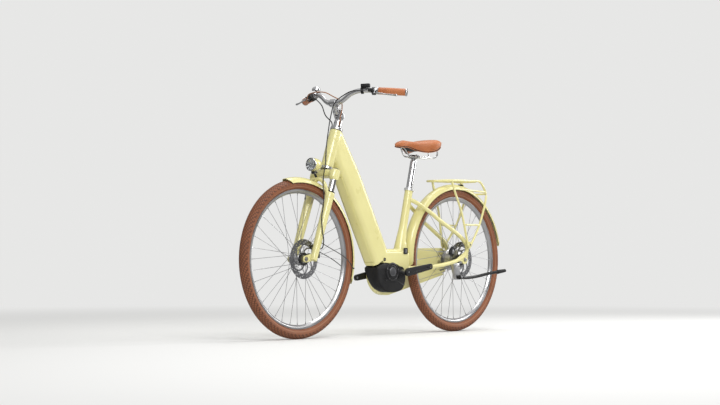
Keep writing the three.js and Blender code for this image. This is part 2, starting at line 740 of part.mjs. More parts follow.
function buildSeat() {
  const collarWall = 4;
  const collarHeight = 13;
  const lift = 1;
  const earHalf = 10;
  const collarTop = seatTubeLength - lift;
  const collarMiddle = collarTop - collarHeight / 2;
  const collar = rod(onSeatTube(collarTop - collarHeight), onSeatTube(collarTop),
    seatTubeRadius + collarWall);
  const ear = rod(onSeatTube(collarMiddle, -seatTubeRadius - collarWall, -earHalf),
    onSeatTube(collarMiddle, -seatTubeRadius - collarWall, earHalf), collarWall + lift, tubeSides);
  const room = rod(onSeatTube(collarTop - 2 * collarHeight), onSeatTube(collarTop + overrun),
    bored(seatTubeRadius));
  part("seat_clamp", cut(joined(collar, ear), room), silver);
  const neck = onSeatTube(seatPostRise);
  const railPlace = from(neck, [upright, railHeight]);
  const cradleHalf = 24;
  const cradleRadius = 10;
  const barrelRadius = 7.5;
  const barrelHalf = railSpread + barrelRadius;
  const post = joined(rod(onSeatTube(seatPostRise - seatPostBelow), neck, seatPostRadius),
    rod(from(railPlace, [ahead, -cradleHalf]), from(railPlace, [ahead, cradleHalf]), cradleRadius,
    tubeSides),
    rod(from(railPlace, [side, -barrelHalf]), from(railPlace, [side, barrelHalf]), barrelRadius, tubeSides));
  part("seat_post", cut(post, railsBody(railPlace, fit)), chrome);
  part("saddle_rails", railsBody(railPlace, 0), chrome);
  part("saddle", cut(saddleBody(), railsBody(railPlace, 2 * fit)), brownLeather);
}

// One bent wire: both rails and the loop under the nose that joins them
function railsBody(place, extra) {
  const half = (left) => railShares.map(([along, up, out]) =>
    from(place, [ahead, along * railLength], [upright, up * railDrop], [side, left * out * railSpread]));
  const nose = from(place, [ahead, railNoseShare * railLength], [upright, railTopShare * railDrop]);
  return tube([...half(1), nose, ...half(-1).reverse()], railRadius + extra, 30, wireSides);
}

// Run from the back, width, top and bottom of the saddle
const saddleShares = [[0.003, 0.474, 0.31, 0.44], [0.052, 0.84, 0.06, 0.615], [0.14, 0.968, 0, 0.846],
  [0.227, 1, 0.06, 0.954], [0.35, 0.895, 0.14, 0.985], [0.472, 0.653, 0.215, 0.98],
  [0.594, 0.442, 0.24, 0.92],
  [0.734, 0.316, 0.215, 0.754], [0.857, 0.263, 0.185, 0.738], [0.944, 0.19, 0.31, 0.708],
  [1, 0.084, 0.51, 0.65]];
// Half of its section, from the hollow underside round the edge to the crown
const saddleSectionShares = [[0.5, 0.82], [0.88, 1], [1, 0.72], [0.97, 0.4], [0.84, 0.16], [0.5, 0.03],
  [0, 0]];

function saddleBody() {
  const rings = saddleShares.map(([run, width, top, bottom]) => {
    const x = saddleNose - saddleLength * (1 - run);
    const high = saddleTop - top * saddleHeight;
    const low = saddleTop - bottom * saddleHeight;
    const spots = saddleSectionShares.map(([out, down]) => [(out * width * saddleWidth) / 2,
      high - down * (high - low)]);
    const mirror = spots.slice(0, -1).map(([y, z]) => [-y, z]).reverse();
    return [...spots, ...mirror].map(([y, z]) => point(x, y, z));
  });
  return loft(rings, rings[3].map((spot) => new THREE.Vector2(spot.y, spot.z)));
}

// Rack: a top loop that bends down at the rear, cross bars, and two legs with struts a side
const rackRadius = 6;
const rackBarRadius = 5;
const rackPadRadius = 8;
const rackFront = 212;
const rackLength = 400;
const rackSpread = 62;
const rackLegHeight = 332;
const rackFoot = staySpread + stayRadius + rackPadRadius + fit;
const rackNoseShare = 0.07;
const rackLoopShares = [[0.09, 0.42, 0.021], [0.17, 0.76, 0.016], [0.32, 1, 0.008], [0.7, 1, 0],
  [0.87, 1, 0],
  [0.935, 1.032, 0.06], [1, 1.065, 0.187]];
const rackBarShares = [0.32, 0.46, 0.6, 0.8];
const rackRearLegShares = [[1, 0.18, 0.208], [0.985, 0.275, 0.277], [0.825, 0.6, 0.669], [0.605, 1, 1]];
const rackFrontLegShares = [[0.3, 0, 0.018], [0.35, 0.18, 0.181], [0.46, 0.505, 0.482], [0.56, 1, 1]];
const rackStrutShares = [[0.535, 0.69, 0.672], [0.825, 0.6, 0.672]];
const rackRailShares = [[0.35, 0.18, 0.1325], [0.965, 0.23, 0.157]];
const rackPadShares = [[0.5825, 1, 0.93], [0.5825, 1, 1.03]];
const rackBarDropShare = 0.006;
const rackPostAngle = 66.4;
const rackPostLength = 47;

const onRack = (along, y, down) => point(rackFront - along * rackLength, y,
  rackHeight - down * rackLegHeight);
const onRackSide = (left) => ([along, out, down]) =>
  onRack(along, left * (rackSpread + out * (rackFoot - rackSpread)), down);

function rackTop(extra) {
  const half = (left) => rackLoopShares.map(([along, out, down]) => onRack(along, left * out * rackSpread,
    down));
  const [corner] = rackLoopShares;
  const nose = onRack(rackNoseShare, 0, corner[2]);
  const loop = tube([...half(1).reverse(), nose, ...half(-1)], rackRadius + extra, 28, wireSides);
  const across = (along, y, down, radius) => rod(onRack(along, -y, down), onRack(along, y, down),
    radius + extra, wireSides);
  const bars = rackBarShares.map((along) => across(along, rackSpread, rackBarDropShare, rackBarRadius));
  const [, out, low] = rackLoopShares[rackLoopShares.length - 1];
  const spine = rod(nose, onRack(rackBarShares[3], 0, rackBarDropShare), rackBarRadius + extra, wireSides);
  const foot = arcSpot(rearAxle, rearFenderRadius + fit, rackPostAngle, 0);
  const head = arcSpot(rearAxle, rearFenderRadius + fit + rackPostLength, rackPostAngle, 0);
  const post = rod(foot, head, rackBarRadius, wireSides);
  return joined(loop, ...bars, spine, post, across(1, out * rackSpread, low, rackBarRadius));
}

function rackSide(left) {
  const legs = [rackRearLegShares, rackFrontLegShares].map((shares) => tube(shares.map(onRackSide(left)),
    rackRadius, 8, wireSides));
  const bars = [[rackStrutShares, rackBarRadius], [rackRailShares, rackBarRadius],
    [rackPadShares, rackPadRadius]]
    .map(([shares, radius]) => rod(...shares.map(onRackSide(left)), radius, wireSides));
  return cut(joined(...legs, ...bars), rackTop(fit));
}

function buildRack() {
  part("rack_top", rackTop(0), creamPaint);
  part("rack_leg_left", rackSide(1), creamPaint);
  part("rack_leg_right", rackSide(-1), creamPaint);
}

// Fork: crown with steerer and stanchions, and sliding lowers with their arch
const crownHeight = 52;
const crownOverhang = 17;
const crownDepth = 27;
const crownCorner = 11;
const crownShares = [[-1, 0.63], [-0.9, 0.85], [-0.23, 1], [0.23, 1], [0.9, 0.85], [1, 0.63]];
const steererAbove = 44;
const stanchionRadius = 15;
const lowersRoom = 116;
const stanchionLap = 87;
const legEndRise = 7;
const lowersDrop = crownDrop + lowersRoom;
const stanchionDrop = lowersDrop + stanchionLap;
const lowersEnd = steeringLength - legEndRise;
const lowersRadius = 22;
const lowersEndRadius = 17;
const forkEyeRadius = 15;
const forkEyePlace = 43.2;
const forkEyeThick = 8.8;
const archHeight = 73;
const archAhead = 48;
const archRadius = 9;
const archClearance = 26;
const archPeakDrop = steeringLength - wheelRadius - archClearance;
const archShares = [[0, 0.21, 1], [0.64, 0.71, 0.85], [0.93, 0.96, 0.52]];
const archPeak = onSteering(-archPeakDrop, archAhead);

const onLeg = (drop, left, forward = 0, out = 0) => onSteering(-drop, forward, left * (forkLegSpread + out));

function buildFork() {
  const crownMiddle = crownDrop + crownHeight / 2;
  const ring = (half) => roundedRing(half, crownHeight / 2, crownCorner);
  const crown = loft(crownShares.map(([out, deep]) => placedRing(ring(deep * crownDepth),
    onSteering(-crownMiddle, 0, out * (forkLegSpread + crownOverhang)), steerAhead, steerUp)),
    ring(crownDepth));
  const steerer = rod(onSteering(-crownMiddle), onSteering(steererAbove), steererRadius);
  const tubes = [1, -1].map((left) => rod(onLeg(crownMiddle, left), onLeg(stanchionDrop, left),
    stanchionRadius));
  part("fork_crown", joined(crown, steerer, ...tubes), creamPaint);
  part("fork_lowers", lowersBody(), creamPaint);
  part("front_axle", axleWithNuts(frontAxle, forkEyePlace + forkEyeThick + fit), silver);
}

const archBody = (extra) => {
  const half = (left) => archShares.map(([up, forward, out]) =>
    onSteering(-archPeakDrop - (1 - up) * archHeight, forward * archAhead, left * out * forkLegSpread));
  return tube([...half(1), archPeak, ...half(-1).reverse()], archRadius + extra, 12);
};

function lowersBody() {
  const bossRadius = 7;
  const out = archPeak.clone().sub(frontAxle).normalize();
  const boss = rod(archPeak, from(frontAxle, [out, frontFenderRadius + fit]), bossRadius, tubeSides);
  const bodies = [archBody(0), boss];
  const bores = [axleRod(frontAxle, -dropoutWidth, dropoutWidth, axleBore)];
  for (const left of [1, -1]) {
    const foot = onSteering(-lowersEnd + forkEyeRadius);
    const eye = plate(beltOutline(frontAxle, forkEyeRadius, foot, lowersEndRadius, 6),
      ...span(left, forkEyePlace, forkEyePlace + forkEyeThick));
    bodies.push(rod(onLeg(lowersDrop, left), onLeg(lowersEnd, left), lowersRadius, roundSides,
      lowersEndRadius), eye);
    bores.push(rod(onLeg(lowersDrop - archHeight / 2, left),
      onLeg(stanchionDrop + forkTravel + overrun, left),
      bored(stanchionRadius)));
  }
  return cut(joined(...bodies), ...bores);
}

// Front fender with its wire stays, which reach the fork legs
function buildFrontFender() {
  const wireRadius = 2.2;
  const wireRise = 94;
  const wireDrop = lowersEnd - wireRise;
  const wireBehind = 22;
  const wireBow = 90;
  const bowSpread = 46;
  const lap = 4;
  const wires = [1, -1].map((left) => tube([
    arcSpot(frontAxle, frontFenderRadius - fenderEdgeDrop + lap, 187,
    left * (fenderHalfWidth - fenderThick / 2)),
    arcSpot(frontAxle, frontFenderRadius - wireBow, 180, left * bowSpread),
    onLeg(wireDrop, left, -wireBehind),
  ], wireRadius, 5, wireSides));
  const guard = fenderBody(frontAxle, frontFenderRadius, 74, 198);
  part("front_fender", joined(guard, ...wires), creamPaint);
}

// Brake calipers, slotted for the discs
const caliperDepth = 26;
const caliperOver = 11;

function caliperBody(centre, place, startAngle, endAngle, half) {
  const low = brakeDiscRadius - caliperDepth;
  const high = brakeDiscRadius + caliperOver;
  const section = [[low, place - half], [high, place - half], [high, place + half], [low, place + half]];
  return arched(section, centre, startAngle, endAngle, 5);
}

const discRoom = (centre, place) =>
  axleRod(centre, place - brakeDiscThick / 2 - fit, place + brakeDiscThick / 2 + fit,
  brakeDiscRadius + 5 * fit, wheelSegments);

function buildCalipers() {
  const frontHalf = 12;
  const rearHalf = 8;
  const mountRise = 52;
  const mountDrop = lowersEnd - mountRise;
  const mountBehind = 30;
  const mountRadius = 8;
  const legRoom = rod(onLeg(lowersDrop, 1), onLeg(lowersEnd, 1), lowersRadius + fit, roundSides,
    lowersEndRadius + fit);
  const mount = rod(onSteering(-mountDrop, -mountBehind, frontRotorPlace + frontHalf / 2),
    onLeg(mountDrop, 1),
    mountRadius, tubeSides);
  const front = joined(caliperBody(frontAxle, frontRotorPlace, 146, 178, frontHalf), mount);
  part("front_caliper", cut(front, legRoom, discRoom(frontAxle, frontRotorPlace)), blackMetal);
  const rear = caliperBody(rearAxle, rearRotorPlace, 14, 44, rearHalf);
  part("rear_caliper", cut(rear, discRoom(rearAxle, rearRotorPlace)), blackMetal);
}

// Headlight on the arch
const lampAhead = 11.4;
const lampRise = 66;
const lampRadius = 30;
const lampLength = 68;
const lampWall = 2;
const lampBowl = 12;
const lampFrontShare = 0.4;
const lampShares = [[0, -0.6], [0.3, -0.56], [0.67, -0.35], [0.9, -0.12], [1, 0.05], [1, lampFrontShare]];
const lampSides = 20;
const lampCentre = from(archPeak, [ahead, lampAhead], [upright, lampRise]);
const lampBarrelRadius = 6;
const lampBarrelHalf = 9;
const lampPivot = from(lampCentre, [ahead, lampWall], [upright, -lampRadius - lampBarrelRadius]);

function lampTurned(profile) {
  const spots = profile.map(([radius, place]) => new THREE.Vector2(radius, place));
  const geometry = new THREE.LatheGeometry(spots, lampSides);
  geometry.rotateZ(-Math.PI / 2);
  geometry.translate(lampCentre.x, lampCentre.y, lampCentre.z);
  return solid(geometry);
}

function buildHeadlight() {
  const stemRadius = 5.5;
  const earRadius = 8;
  const earThick = 4;
  const earTop = from(lampCentre, [upright, -lampRadius / 2]);
  const bracket = joined(rod(archPeak, lampPivot, stemRadius, tubeSides),
    axleRod(lampPivot, -lampBarrelHalf, lampBarrelHalf, lampBarrelRadius, tubeSides));
  part("headlight_bracket", cut(bracket, archBody(2 * fit)), blackMetal);
  const front = lampFrontShare * lampLength;
  const outside = lampShares.map(([out, along]) => [out * lampRadius, along * lampLength]);
  const bowl = [[lampRadius - lampWall, front], [lampRadius - 2 * lampWall, front - lampBowl],
    [0, front - lampBowl - lampWall]];
  const barrelRoom = axleRod(lampPivot, -lampBarrelHalf - fit, lampBarrelHalf + fit, earRadius + fit);
  const shell = cut(lampTurned([...outside, ...bowl]), barrelRoom);
  const ears = [1, -1].map((left) => plate(beltOutline(lampPivot, earRadius, earTop, earRadius, 5),
    ...span(left, lampBarrelHalf + fit, lampBarrelHalf + fit + earThick)));
  part("headlight", joined(shell, ...ears), creamPaint);
  const glass = [[0, front - lampBowl - lampWall + 3 * fit],
    [lampRadius - 2 * lampWall - 2 * fit, front - lampBowl + fit],
    [lampRadius - lampWall - 2 * fit, front], [lampRadius / 2, front + lampWall], [0, front + 2 * lampWall]];
  part("headlight_lens", lampTurned(glass), clearLens);
}

// Stem, handlebar and controls
const stemPivotRise = 71;
const stemReach = 37.4;
const stemRise = 63;
const barSweep = 143;
const barRise = 51.5;
const barStart = 26;
const barShares = [[0, 0.081, 0], [0.028, 0.161, 0.194], [0.084, 0.273, 0.68], [0.154, 0.379, 0.932],
  [0.294, 0.497, 1], [0.531, 0.627, 0.951], [0.769, 0.809, 0.857], [1, 0.9876, 0.763]];
const gripPointCount = 3;
const gripCap = 4;
const stemPivot = onSteering(stemPivotRise);
const barCentre = from(stemPivot, [ahead, stemReach], [upright, stemRise]);

const barRoute = (left) => barShares.map(([sweep, out, rise]) =>
  from(barCentre, [ahead, -sweep * barSweep], [side, (left * out * barWidth) / 2],
  [upright, rise * barRise]));

const barBody = (extra) => {
  const bulge = 1.6;
  const route = [...barRoute(1).reverse(), barCentre, ...barRoute(-1)];
  return joined(tube(route, barRadius + extra, 32),
    rod(from(barCentre, [side, -barStart]), from(barCentre, [side, barStart]), barRadius + bulge + extra));
};

function buildStem() {
  const pivotRadius = 16;
  const tongue = 11;
  const columnRadius = 19;
  const neckGap = 3;
  const columnTop = stemPivotRise - pivotRadius - neckGap;
  const cheekThick = 8;
  const cheekRadius = 13;
  const armRadius = 15;
  const clampHalf = 20;
  const clampWall = 8;
  const column = rod(onSteering(headsetHeight + 2 * fit), onSteering(columnTop), columnRadius);
  const neck = joined(rod(onSteering(columnTop - tongue / 2), stemPivot, tongue),
    axleRod(stemPivot, -tongue, tongue, pivotRadius));
  const base = cut(joined(column, neck), rod(onSteering(0), onSteering(steererAbove + fit),
    bored(steererRadius)));
  part("stem_base", base, chrome);
  const along = barCentre.clone().sub(stemPivot).normalize();
  const start = pivotRadius + clampWall / 2;
  const bodies = [rod(from(stemPivot, [along, start]), from(barCentre, [along, -clampWall]), armRadius),
    rod(from(barCentre, [side, -clampHalf]), from(barCentre, [side, clampHalf]), barRadius + clampWall)];
  for (const left of [1, -1]) {
    const outline = beltOutline(from(stemPivot, [along, start + clampWall]), cheekRadius, stemPivot,
      pivotRadius, 8);
    bodies.push(plate(outline, ...span(left, tongue + fit, tongue + cheekThick)));
  }
  part("stem_arm", cut(joined(...bodies), barBody(fit)), chrome);
  part("handlebar", barBody(0), chrome);
}

// A place on a grip: run outwards along it, forward and up from the bar's middle line
function onGrip(left, run, forward = 0, rise = 0) {
  const route = barRoute(left);
  const start = route[route.length - gripPointCount];
  const along = route[route.length - 1].clone().sub(start).normalize();
  const front = along.clone().cross(upright).multiplyScalar(left).normalize();
  return from(start, [along, run], [front, forward], [upright, rise]);
}

const gripRadius = 17;
const gripRing = 6;
const gripRingWall = 2;
const twistStart = 8.6;
const twistLength = 28;

function buildGrips() {
  const route = barRoute(1);
  const gripEnd = route[route.length - gripPointCount].distanceTo(route[route.length - 1]) + gripCap;
  for (const [name, left, start] of [["grip_left", 1, 0],
    ["grip_right", -1, twistStart + twistLength + fit]]) {
    const sleeve = (low, high, radius) => rod(onGrip(left, low), onGrip(left, high), radius);
    const body = joined(sleeve(start, gripEnd, gripRadius),
      sleeve(gripEnd - gripRing, gripEnd, gripRadius + gripRingWall));
    part(name, cut(body, sleeve(-overrun, gripEnd - gripCap + fit, bored(barRadius + fit))), brownLeather);
  }
}

// A clamp ring on the bar with the lever's housing, and the lever blade that it carries
const perchInner = 27;
const perchOuter = 13;
const perchWall = 5;
const leverSetback = 10;
const leverReach = 34;
const leverDrop = 13;
const leverLength = 108;
const leverBladeShares = [[0.22, 0.09, -0.02], [0.56, 0.11, -0.05], [0.89, 0.15, -0.07], [1, 0.2, -0.08]];
const reservoirStart = 40;
const reservoirAhead = 22;
const reservoirRadius = 9;

function buildBrakeLever(name, left) {
  const eyeHalf = 5.5;
  const eyeRadius = 7;
  const forkGap = 6;
  const forkThick = 4;
  const yokeRadius = 10;
  const yokeRoom = 13;
  const pinRadius = 2.5;
  const bladeRadius = 5;
  const housingAhead = 10;
  const onPivot = (rise, run = 0, forward = 0) =>
    onGrip(left, run - leverSetback, leverReach + forward, rise - leverDrop);
  const sleeve = (low, high, radius) => rod(onGrip(left, low), onGrip(left, high), radius);
  const upDown = (low, high, radius, sides = roundSides) => rod(onPivot(low), onPivot(high), radius, sides);
  const housing = rod(onGrip(left, -perchInner + fit, housingAhead), onPivot(0, -fit), reservoirRadius,
    tubeSides);
  const reservoir = rod(onGrip(left, -reservoirStart, reservoirAhead),
    onGrip(left, -perchOuter, reservoirAhead),
    reservoirRadius, tubeSides);
  const ring = sleeve(-perchInner, -perchOuter, barRadius + perchWall);
  const holder = cut(joined(ring, housing, reservoir), upDown(-forkGap, forkGap, yokeRoom));
  const yoke = [upDown(forkGap, forkGap + forkThick, yokeRadius, tubeSides),
    upDown(-forkGap - forkThick, -forkGap, yokeRadius, tubeSides),
    upDown(-forkGap - forkThick, forkGap + forkThick, pinRadius, tubeSides)];
  const perch = cut(joined(holder, ...yoke), barBody(fit));
  part(`brake_perch_${name}`, perch, blackMetal);
  const blade = tube([onPivot(0), ...leverBladeShares.map(([run, forward, rise]) =>
    onPivot(rise * leverLength, run * leverLength, forward * leverLength))], bladeRadius, 8, wireSides);
  const pinRoom = upDown(-yokeRoom, yokeRoom, bored(pinRadius + fit, tubeSides), tubeSides);
  const forkRoom = [[eyeHalf, yokeRoom + yokeRoom], [-yokeRoom - yokeRoom, -eyeHalf]]
    .map(([low, high]) => upDown(low, high, yokeRoom));
  part(`brake_lever_${name}`, cut(joined(upDown(-eyeHalf, eyeHalf, eyeRadius), blade), pinRoom,
    ...forkRoom), silver);
}

// A place on the bar, as a share of its length from the middle, and the bar's run there
function onBar(left, share) {
  const path = new THREE.CatmullRomCurve3(barRoute(left), false, "centripetal");
  return { spot: path.getPointAt(share), run: path.getTangentAt(share) };
}

const clampHalf = 6;
const clampShare = 0.4;

function buildDisplay() {
  const deskRise = 21;
  const deskHalf = 20;
  const deskWidth = 14;
  const deskThick = 9;
  const deskCorner = 4;
  const deskInner = 4;
  const { spot, run } = onBar(1, clampShare);
  const across = run.clone().cross(upright).normalize();
  const up = across.clone().cross(run).normalize();
  const clamp = rod(from(spot, [run, -clampHalf]), from(spot, [run, clampHalf]), barRadius + perchWall);
  const low = from(spot, [run, -deskInner], [up, deskRise]);
  const desk = block(low, from(low, [run, 2 * deskHalf]),
    roundedRing(deskWidth, deskThick, deskCorner, 2), across, up);
  part("display", cut(joined(clamp, desk), barBody(fit)), blackPlastic);
}

function buildBell() {
  const domeRadius = 20;
  const domeShares = [[0, 0], [1, 0], [0.96, 0.4], [0.72, 0.78], [0.35, 0.96], [0, 1]];
  const domeRise = 20;
  const postRadius = 5;
  const lugReach = 25;
  const lugRise = 9;
  const lugRadius = 4;
  const strikerThick = 5;
  const tabReach = 14;
  const tabRadius = 2.4;
  const { spot, run } = onBar(-1, clampShare);
  const clamp = rod(from(spot, [run, -clampHalf]), from(spot, [run, clampHalf]), barRadius + perchWall);
  const base = from(spot, [upright, domeRise]);
  const geometry = new THREE.LatheGeometry(
    domeShares.map(([out, up]) => new THREE.Vector2(out * domeRadius, up * domeRadius)), roundSides);
  geometry.rotateX(Math.PI / 2);
  geometry.translate(base.x, base.y, base.z);
  const lugEnd = from(spot, [ahead, -lugReach], [upright, lugRise]);
  const lug = rod(from(spot, [upright, lugRise]), lugEnd, lugRadius, tubeSides);
  const foot = rod(spot, from(base, [upright, postRadius]), postRadius, tubeSides);
  part("bell", cut(joined(clamp, foot, solid(geometry), lug), barBody(fit)), chrome);
  const seat = from(lugEnd, [upright, lugRadius + fit]);
  const top = from(seat, [upright, strikerThick]);
  const middle = from(seat, [upright, strikerThick / 2]);
  const tab = rod(middle, from(middle, [ahead, -tabReach], [side, tabReach / 2]), tabRadius, wireSides);
  part("bell_striker", joined(rod(seat, top, postRadius, tubeSides), tab), blackPlastic);
}

// Twist shifter at the inner end of the right grip
const shifterInner = 5;
const shifterWall = 8;
const snoutRun = 2;
const snoutAhead = 22;
const snoutDrop = 24;
const snoutRadius = 5;

function buildShifter() {
  const sleeve = (low, high, radius) => rod(onGrip(-1, low), onGrip(-1, high), radius);
  const bore = sleeve(-2 * shifterInner, twistStart + twistLength + overrun, bored(barRadius + 2 * fit));
  const ring = sleeve(-shifterInner, twistStart - fit, barRadius + shifterWall);
  const snout = rod(onGrip(-1, snoutRun, shifterWall, -shifterWall),
    onGrip(-1, snoutRun, snoutAhead, -snoutDrop),
    snoutRadius, tubeSides);
  part("shifter", cut(joined(ring, snout), bore), blackPlastic);
  const twist = sleeve(twistStart, twistStart + twistLength, gripRadius + gripRingWall);
  part("shift_twist", cut(twist, bore), brownLeather);
}

// Kickstand and its bracket under the left chain stay
const standBracketInner = 56;
const standBracketOuter = 75;
const standBracketLength = 52;
const standBracketHeight = 84;
const standBracketAhead = 42;
const standBracketDrop = 101;
const standBracketShares = [[0.08, 1], [1, 0.95], [0.88, 0.48], [0.62, 0.02], [0.15, 0], [0, 0.48]];
const standPivotAhead = 58;
const standPivotDrop = 87;
const standLength = 320;
const standRadius = 8;
const standHeadRadius = 12;
const standHeadThick = 18;
const standAxisTurn = 10;
const standAxisTilt = 8.2;
const standShares = [[-0.12, 0.006, -0.0125], [-0.36, 0.025, 0.003], [-0.65, 0.075, 0.053],
  [-0.94, 0.131, 0.092]];
const standFootShares = [[-0.825, 0.108, 0.076], [-1, 0.1416, 0.099]];
const standFootRadius = 11;
const standAxis = side.clone().applyAxisAngle(ahead, radians(standAxisTilt))
  .applyAxisAngle(upright, radians(standAxisTurn));
// How far the tilted head reaches inwards from its middle
const standHeadReach = (standHeadThick / 2) * standAxis.y
  + standHeadRadius * Math.hypot(standAxis.x, standAxis.z);
const standPivot = from(rearAxle, [ahead, standPivotAhead], [upright, -standPivotDrop],
  [side, standBracketOuter + standHeadReach + fit]);

function buildKickstand() {
  const corner = from(rearAxle, [ahead, standBracketAhead], [upright, -standBracketDrop]);
  const outline = sharedOutline(standBracketShares, corner, standBracketLength, standBracketHeight);
  const stayRoom = tube(chainStayRoute(1), stayRadius + 2 * fit, 12);
  part("kickstand_bracket", cut(plate(outline, standBracketInner, standBracketOuter), stayRoom), silver);
  const onStand = ([along, out, up]) => from(standPivot, [ahead, along * standLength],
    [side, out * standLength],
    [upright, up * standLength]);
  const onHead = (place) => from(standPivot, [standAxis, place]);
  const head = rod(onHead(-standHeadThick / 2), onHead(standHeadThick / 2), standHeadRadius);
  const leg = tube([standPivot, ...standShares.map(onStand)], standRadius, 14);
  const foot = rod(...standFootShares.map(onStand), standFootRadius, tubeSides, standRadius);
  part("kickstand", joined(head, leg, foot), blackMetal);
}

// Charge cover on the left side of the step
function buildChargeCover() {
  const half = 15;
  const thick = 3;
  const corner = 4;
  const setback = 35;
  const rise = 102;
  const centre = from(bottomBracket, [ahead, -setback], [upright, rise]);
  const outline = roundedRing(half, half, corner, 2).map((spot) => new THREE.Vector2(centre.x + spot.x,
    centre.z + spot.y));
  part("charge_cover", plate(outline, stepWidth / 2 + fit, stepWidth / 2 + fit + thick), blackPlastic);
}

// Cables: their points stay as chosen, and their ends are taken from what they meet
const cableRadius = 2.6;
const cableSides = 6;

function buildCables() {
  const nearHead = (x, y, z) => from(headTop, [ahead, x], [side, y], [upright, z]);
  const belowCrown = (drop, forward, left) => onSteering(-crownDrop - drop, forward, left);
  const coverFace = headsetHeight + 3 * fit;
  const cableEntry = (left) => [onSteering(coverFace + 26, 16, left * 26),
    onSteering(coverFace + 9, 12, left * 21), onSteering(coverFace, 12, left * 21)];
  const shift = [onGrip(-1, snoutRun, snoutAhead + 3, -snoutDrop - 3), onGrip(-1, -12, 38, -32),
    onGrip(-1, -28, 42, -22), onGrip(-1, -40, 40, -2), nearHead(11, -146, 186),
    nearHead(17, -96, 188), nearHead(3, -64, 184), nearHead(-15, -34, 166), nearHead(-21, 14, 138),
    nearHead(-11, 27, 98), nearHead(1, 28, 62), ...cableEntry(1)];
  part("shift_cable", tube(shift, cableRadius, 34, cableSides), brownLeather);
  const gland = (left) => [2 * fit, 5, 10].map((run) => onGrip(left, -reservoirStart - run, reservoirAhead));
  const rear = [...gland(-1), nearHead(9, -148, 170), nearHead(27, -120, 163), nearHead(39, -84, 146),
    nearHead(43, -50, 118), nearHead(35, -34, 72), ...cableEntry(-1)];
  part("rear_brake_hose", tube(rear, cableRadius, 26, cableSides), blackPlastic);
  const front = [...gland(1), nearHead(6, 150, 178), nearHead(25, 122, 176), nearHead(41, 84, 158),
    nearHead(53, 40, 124), nearHead(63, 24, 62), nearHead(75, 20, -8), nearHead(91, 22, -88),
    nearHead(109, 34, -163), belowCrown(48, 54, 46), belowCrown(103, 54, 60), belowCrown(153, 38, 68),
    belowCrown(203, 30, 70), belowCrown(243, 26, 72), belowCrown(303, 14, 84), belowCrown(348, -12, 84),
    belowCrown(377, -26, 70), belowCrown(381, -22, 58), belowCrown(381, -22, 50.7)];
  part("front_brake_hose", tube(front, cableRadius, 44, cableSides), blackPlastic);
}

buildWheels();
buildFrame();
buildStays();
buildMotor();
buildDrive();
buildChainCase();
buildRearEnd();
buildSeat();
buildRack();
buildFork();
buildFrontFender();
buildCalipers();
buildHeadlight();
buildStem();
buildGrips();
buildBrakeLever("left", 1);
buildBrakeLever("right", -1);
buildDisplay();
buildBell();
buildShifter();
buildKickstand();
buildChargeCover();
buildCables();

const rearEnd = rearFenderRadius * Math.cos(radians(11));
bike.position.x = -(wheelbase + wheelRadius - rearEnd) / 2;
export default bike;
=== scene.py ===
# %% [markdown]
# # A step-through electric city bike
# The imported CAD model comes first, as a fixed frame: every piece made below sits in the same
# place as the solid that it stands for, so nothing has to be fitted by eye afterwards.

# %% Load the frame
import math
import bpy
import bmesh
from mathutils import Matrix, Vector


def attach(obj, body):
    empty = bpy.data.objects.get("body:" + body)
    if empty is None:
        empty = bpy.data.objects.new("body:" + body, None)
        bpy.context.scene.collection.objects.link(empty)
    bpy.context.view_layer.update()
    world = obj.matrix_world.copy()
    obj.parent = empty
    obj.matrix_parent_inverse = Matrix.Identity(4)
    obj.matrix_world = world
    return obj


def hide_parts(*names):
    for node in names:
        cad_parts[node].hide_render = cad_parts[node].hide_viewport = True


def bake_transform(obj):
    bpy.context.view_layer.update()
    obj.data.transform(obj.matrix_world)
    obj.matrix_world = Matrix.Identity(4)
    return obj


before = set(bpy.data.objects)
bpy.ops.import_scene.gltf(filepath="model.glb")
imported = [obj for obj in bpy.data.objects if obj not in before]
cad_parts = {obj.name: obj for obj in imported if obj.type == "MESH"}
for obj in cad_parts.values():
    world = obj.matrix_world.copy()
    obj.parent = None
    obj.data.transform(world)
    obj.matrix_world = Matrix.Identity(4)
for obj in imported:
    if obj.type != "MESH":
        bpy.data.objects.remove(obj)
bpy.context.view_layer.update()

# %% [markdown]
# ## The frame builder's measures
# Sizes are in millimetres from the rear axle, as on a builder's drawing: X forward, Y to the
# rider's left, Z up from the ground. `piece` turns them into metres at the end.

# %% Measures and directions
MM = 0.001
REAR_AXLE_X = -565.01
WHEELBASE, WHEEL_RADIUS = 1144, 361
HEAD_ANGLE, SEAT_ANGLE, DOWN_ANGLE = math.radians(70), math.radians(76), math.radians(61)
FORK_OFFSET, HEAD_RISE, HEAD_LENGTH, HEAD_RADIUS = 37.4, 649, 184, 29
LEG_SPREAD = 61
CHAIN_LINE = -50.6
SIDES = (1, -1)
rear_axle = Vector((0, 0, WHEEL_RADIUS))
front_axle = Vector((WHEELBASE, 0, WHEEL_RADIUS))
bottom_bracket = Vector((471, 0, 300))
ahead, side, upright = Vector((1, 0, 0)), Vector((0, 1, 0)), Vector((0, 0, 1))
steer_up = Vector((-math.cos(HEAD_ANGLE), 0, math.sin(HEAD_ANGLE)))
steer_ahead = Vector((math.sin(HEAD_ANGLE), 0, math.cos(HEAD_ANGLE)))
seat_up = Vector((-math.cos(SEAT_ANGLE), 0, math.sin(SEAT_ANGLE)))
seat_ahead = Vector((math.sin(SEAT_ANGLE), 0, math.cos(SEAT_ANGLE)))
tube_up = Vector((math.cos(DOWN_ANGLE), 0, math.sin(DOWN_ANGLE)))
tube_ahead = Vector((math.sin(DOWN_ANGLE), 0, -math.cos(DOWN_ANGLE)))
head_top = front_axle - FORK_OFFSET * steer_ahead + HEAD_RISE * steer_up


def on_steering(rise, forward=0, left=0):
    return head_top + rise * steer_up + forward * steer_ahead + left * side


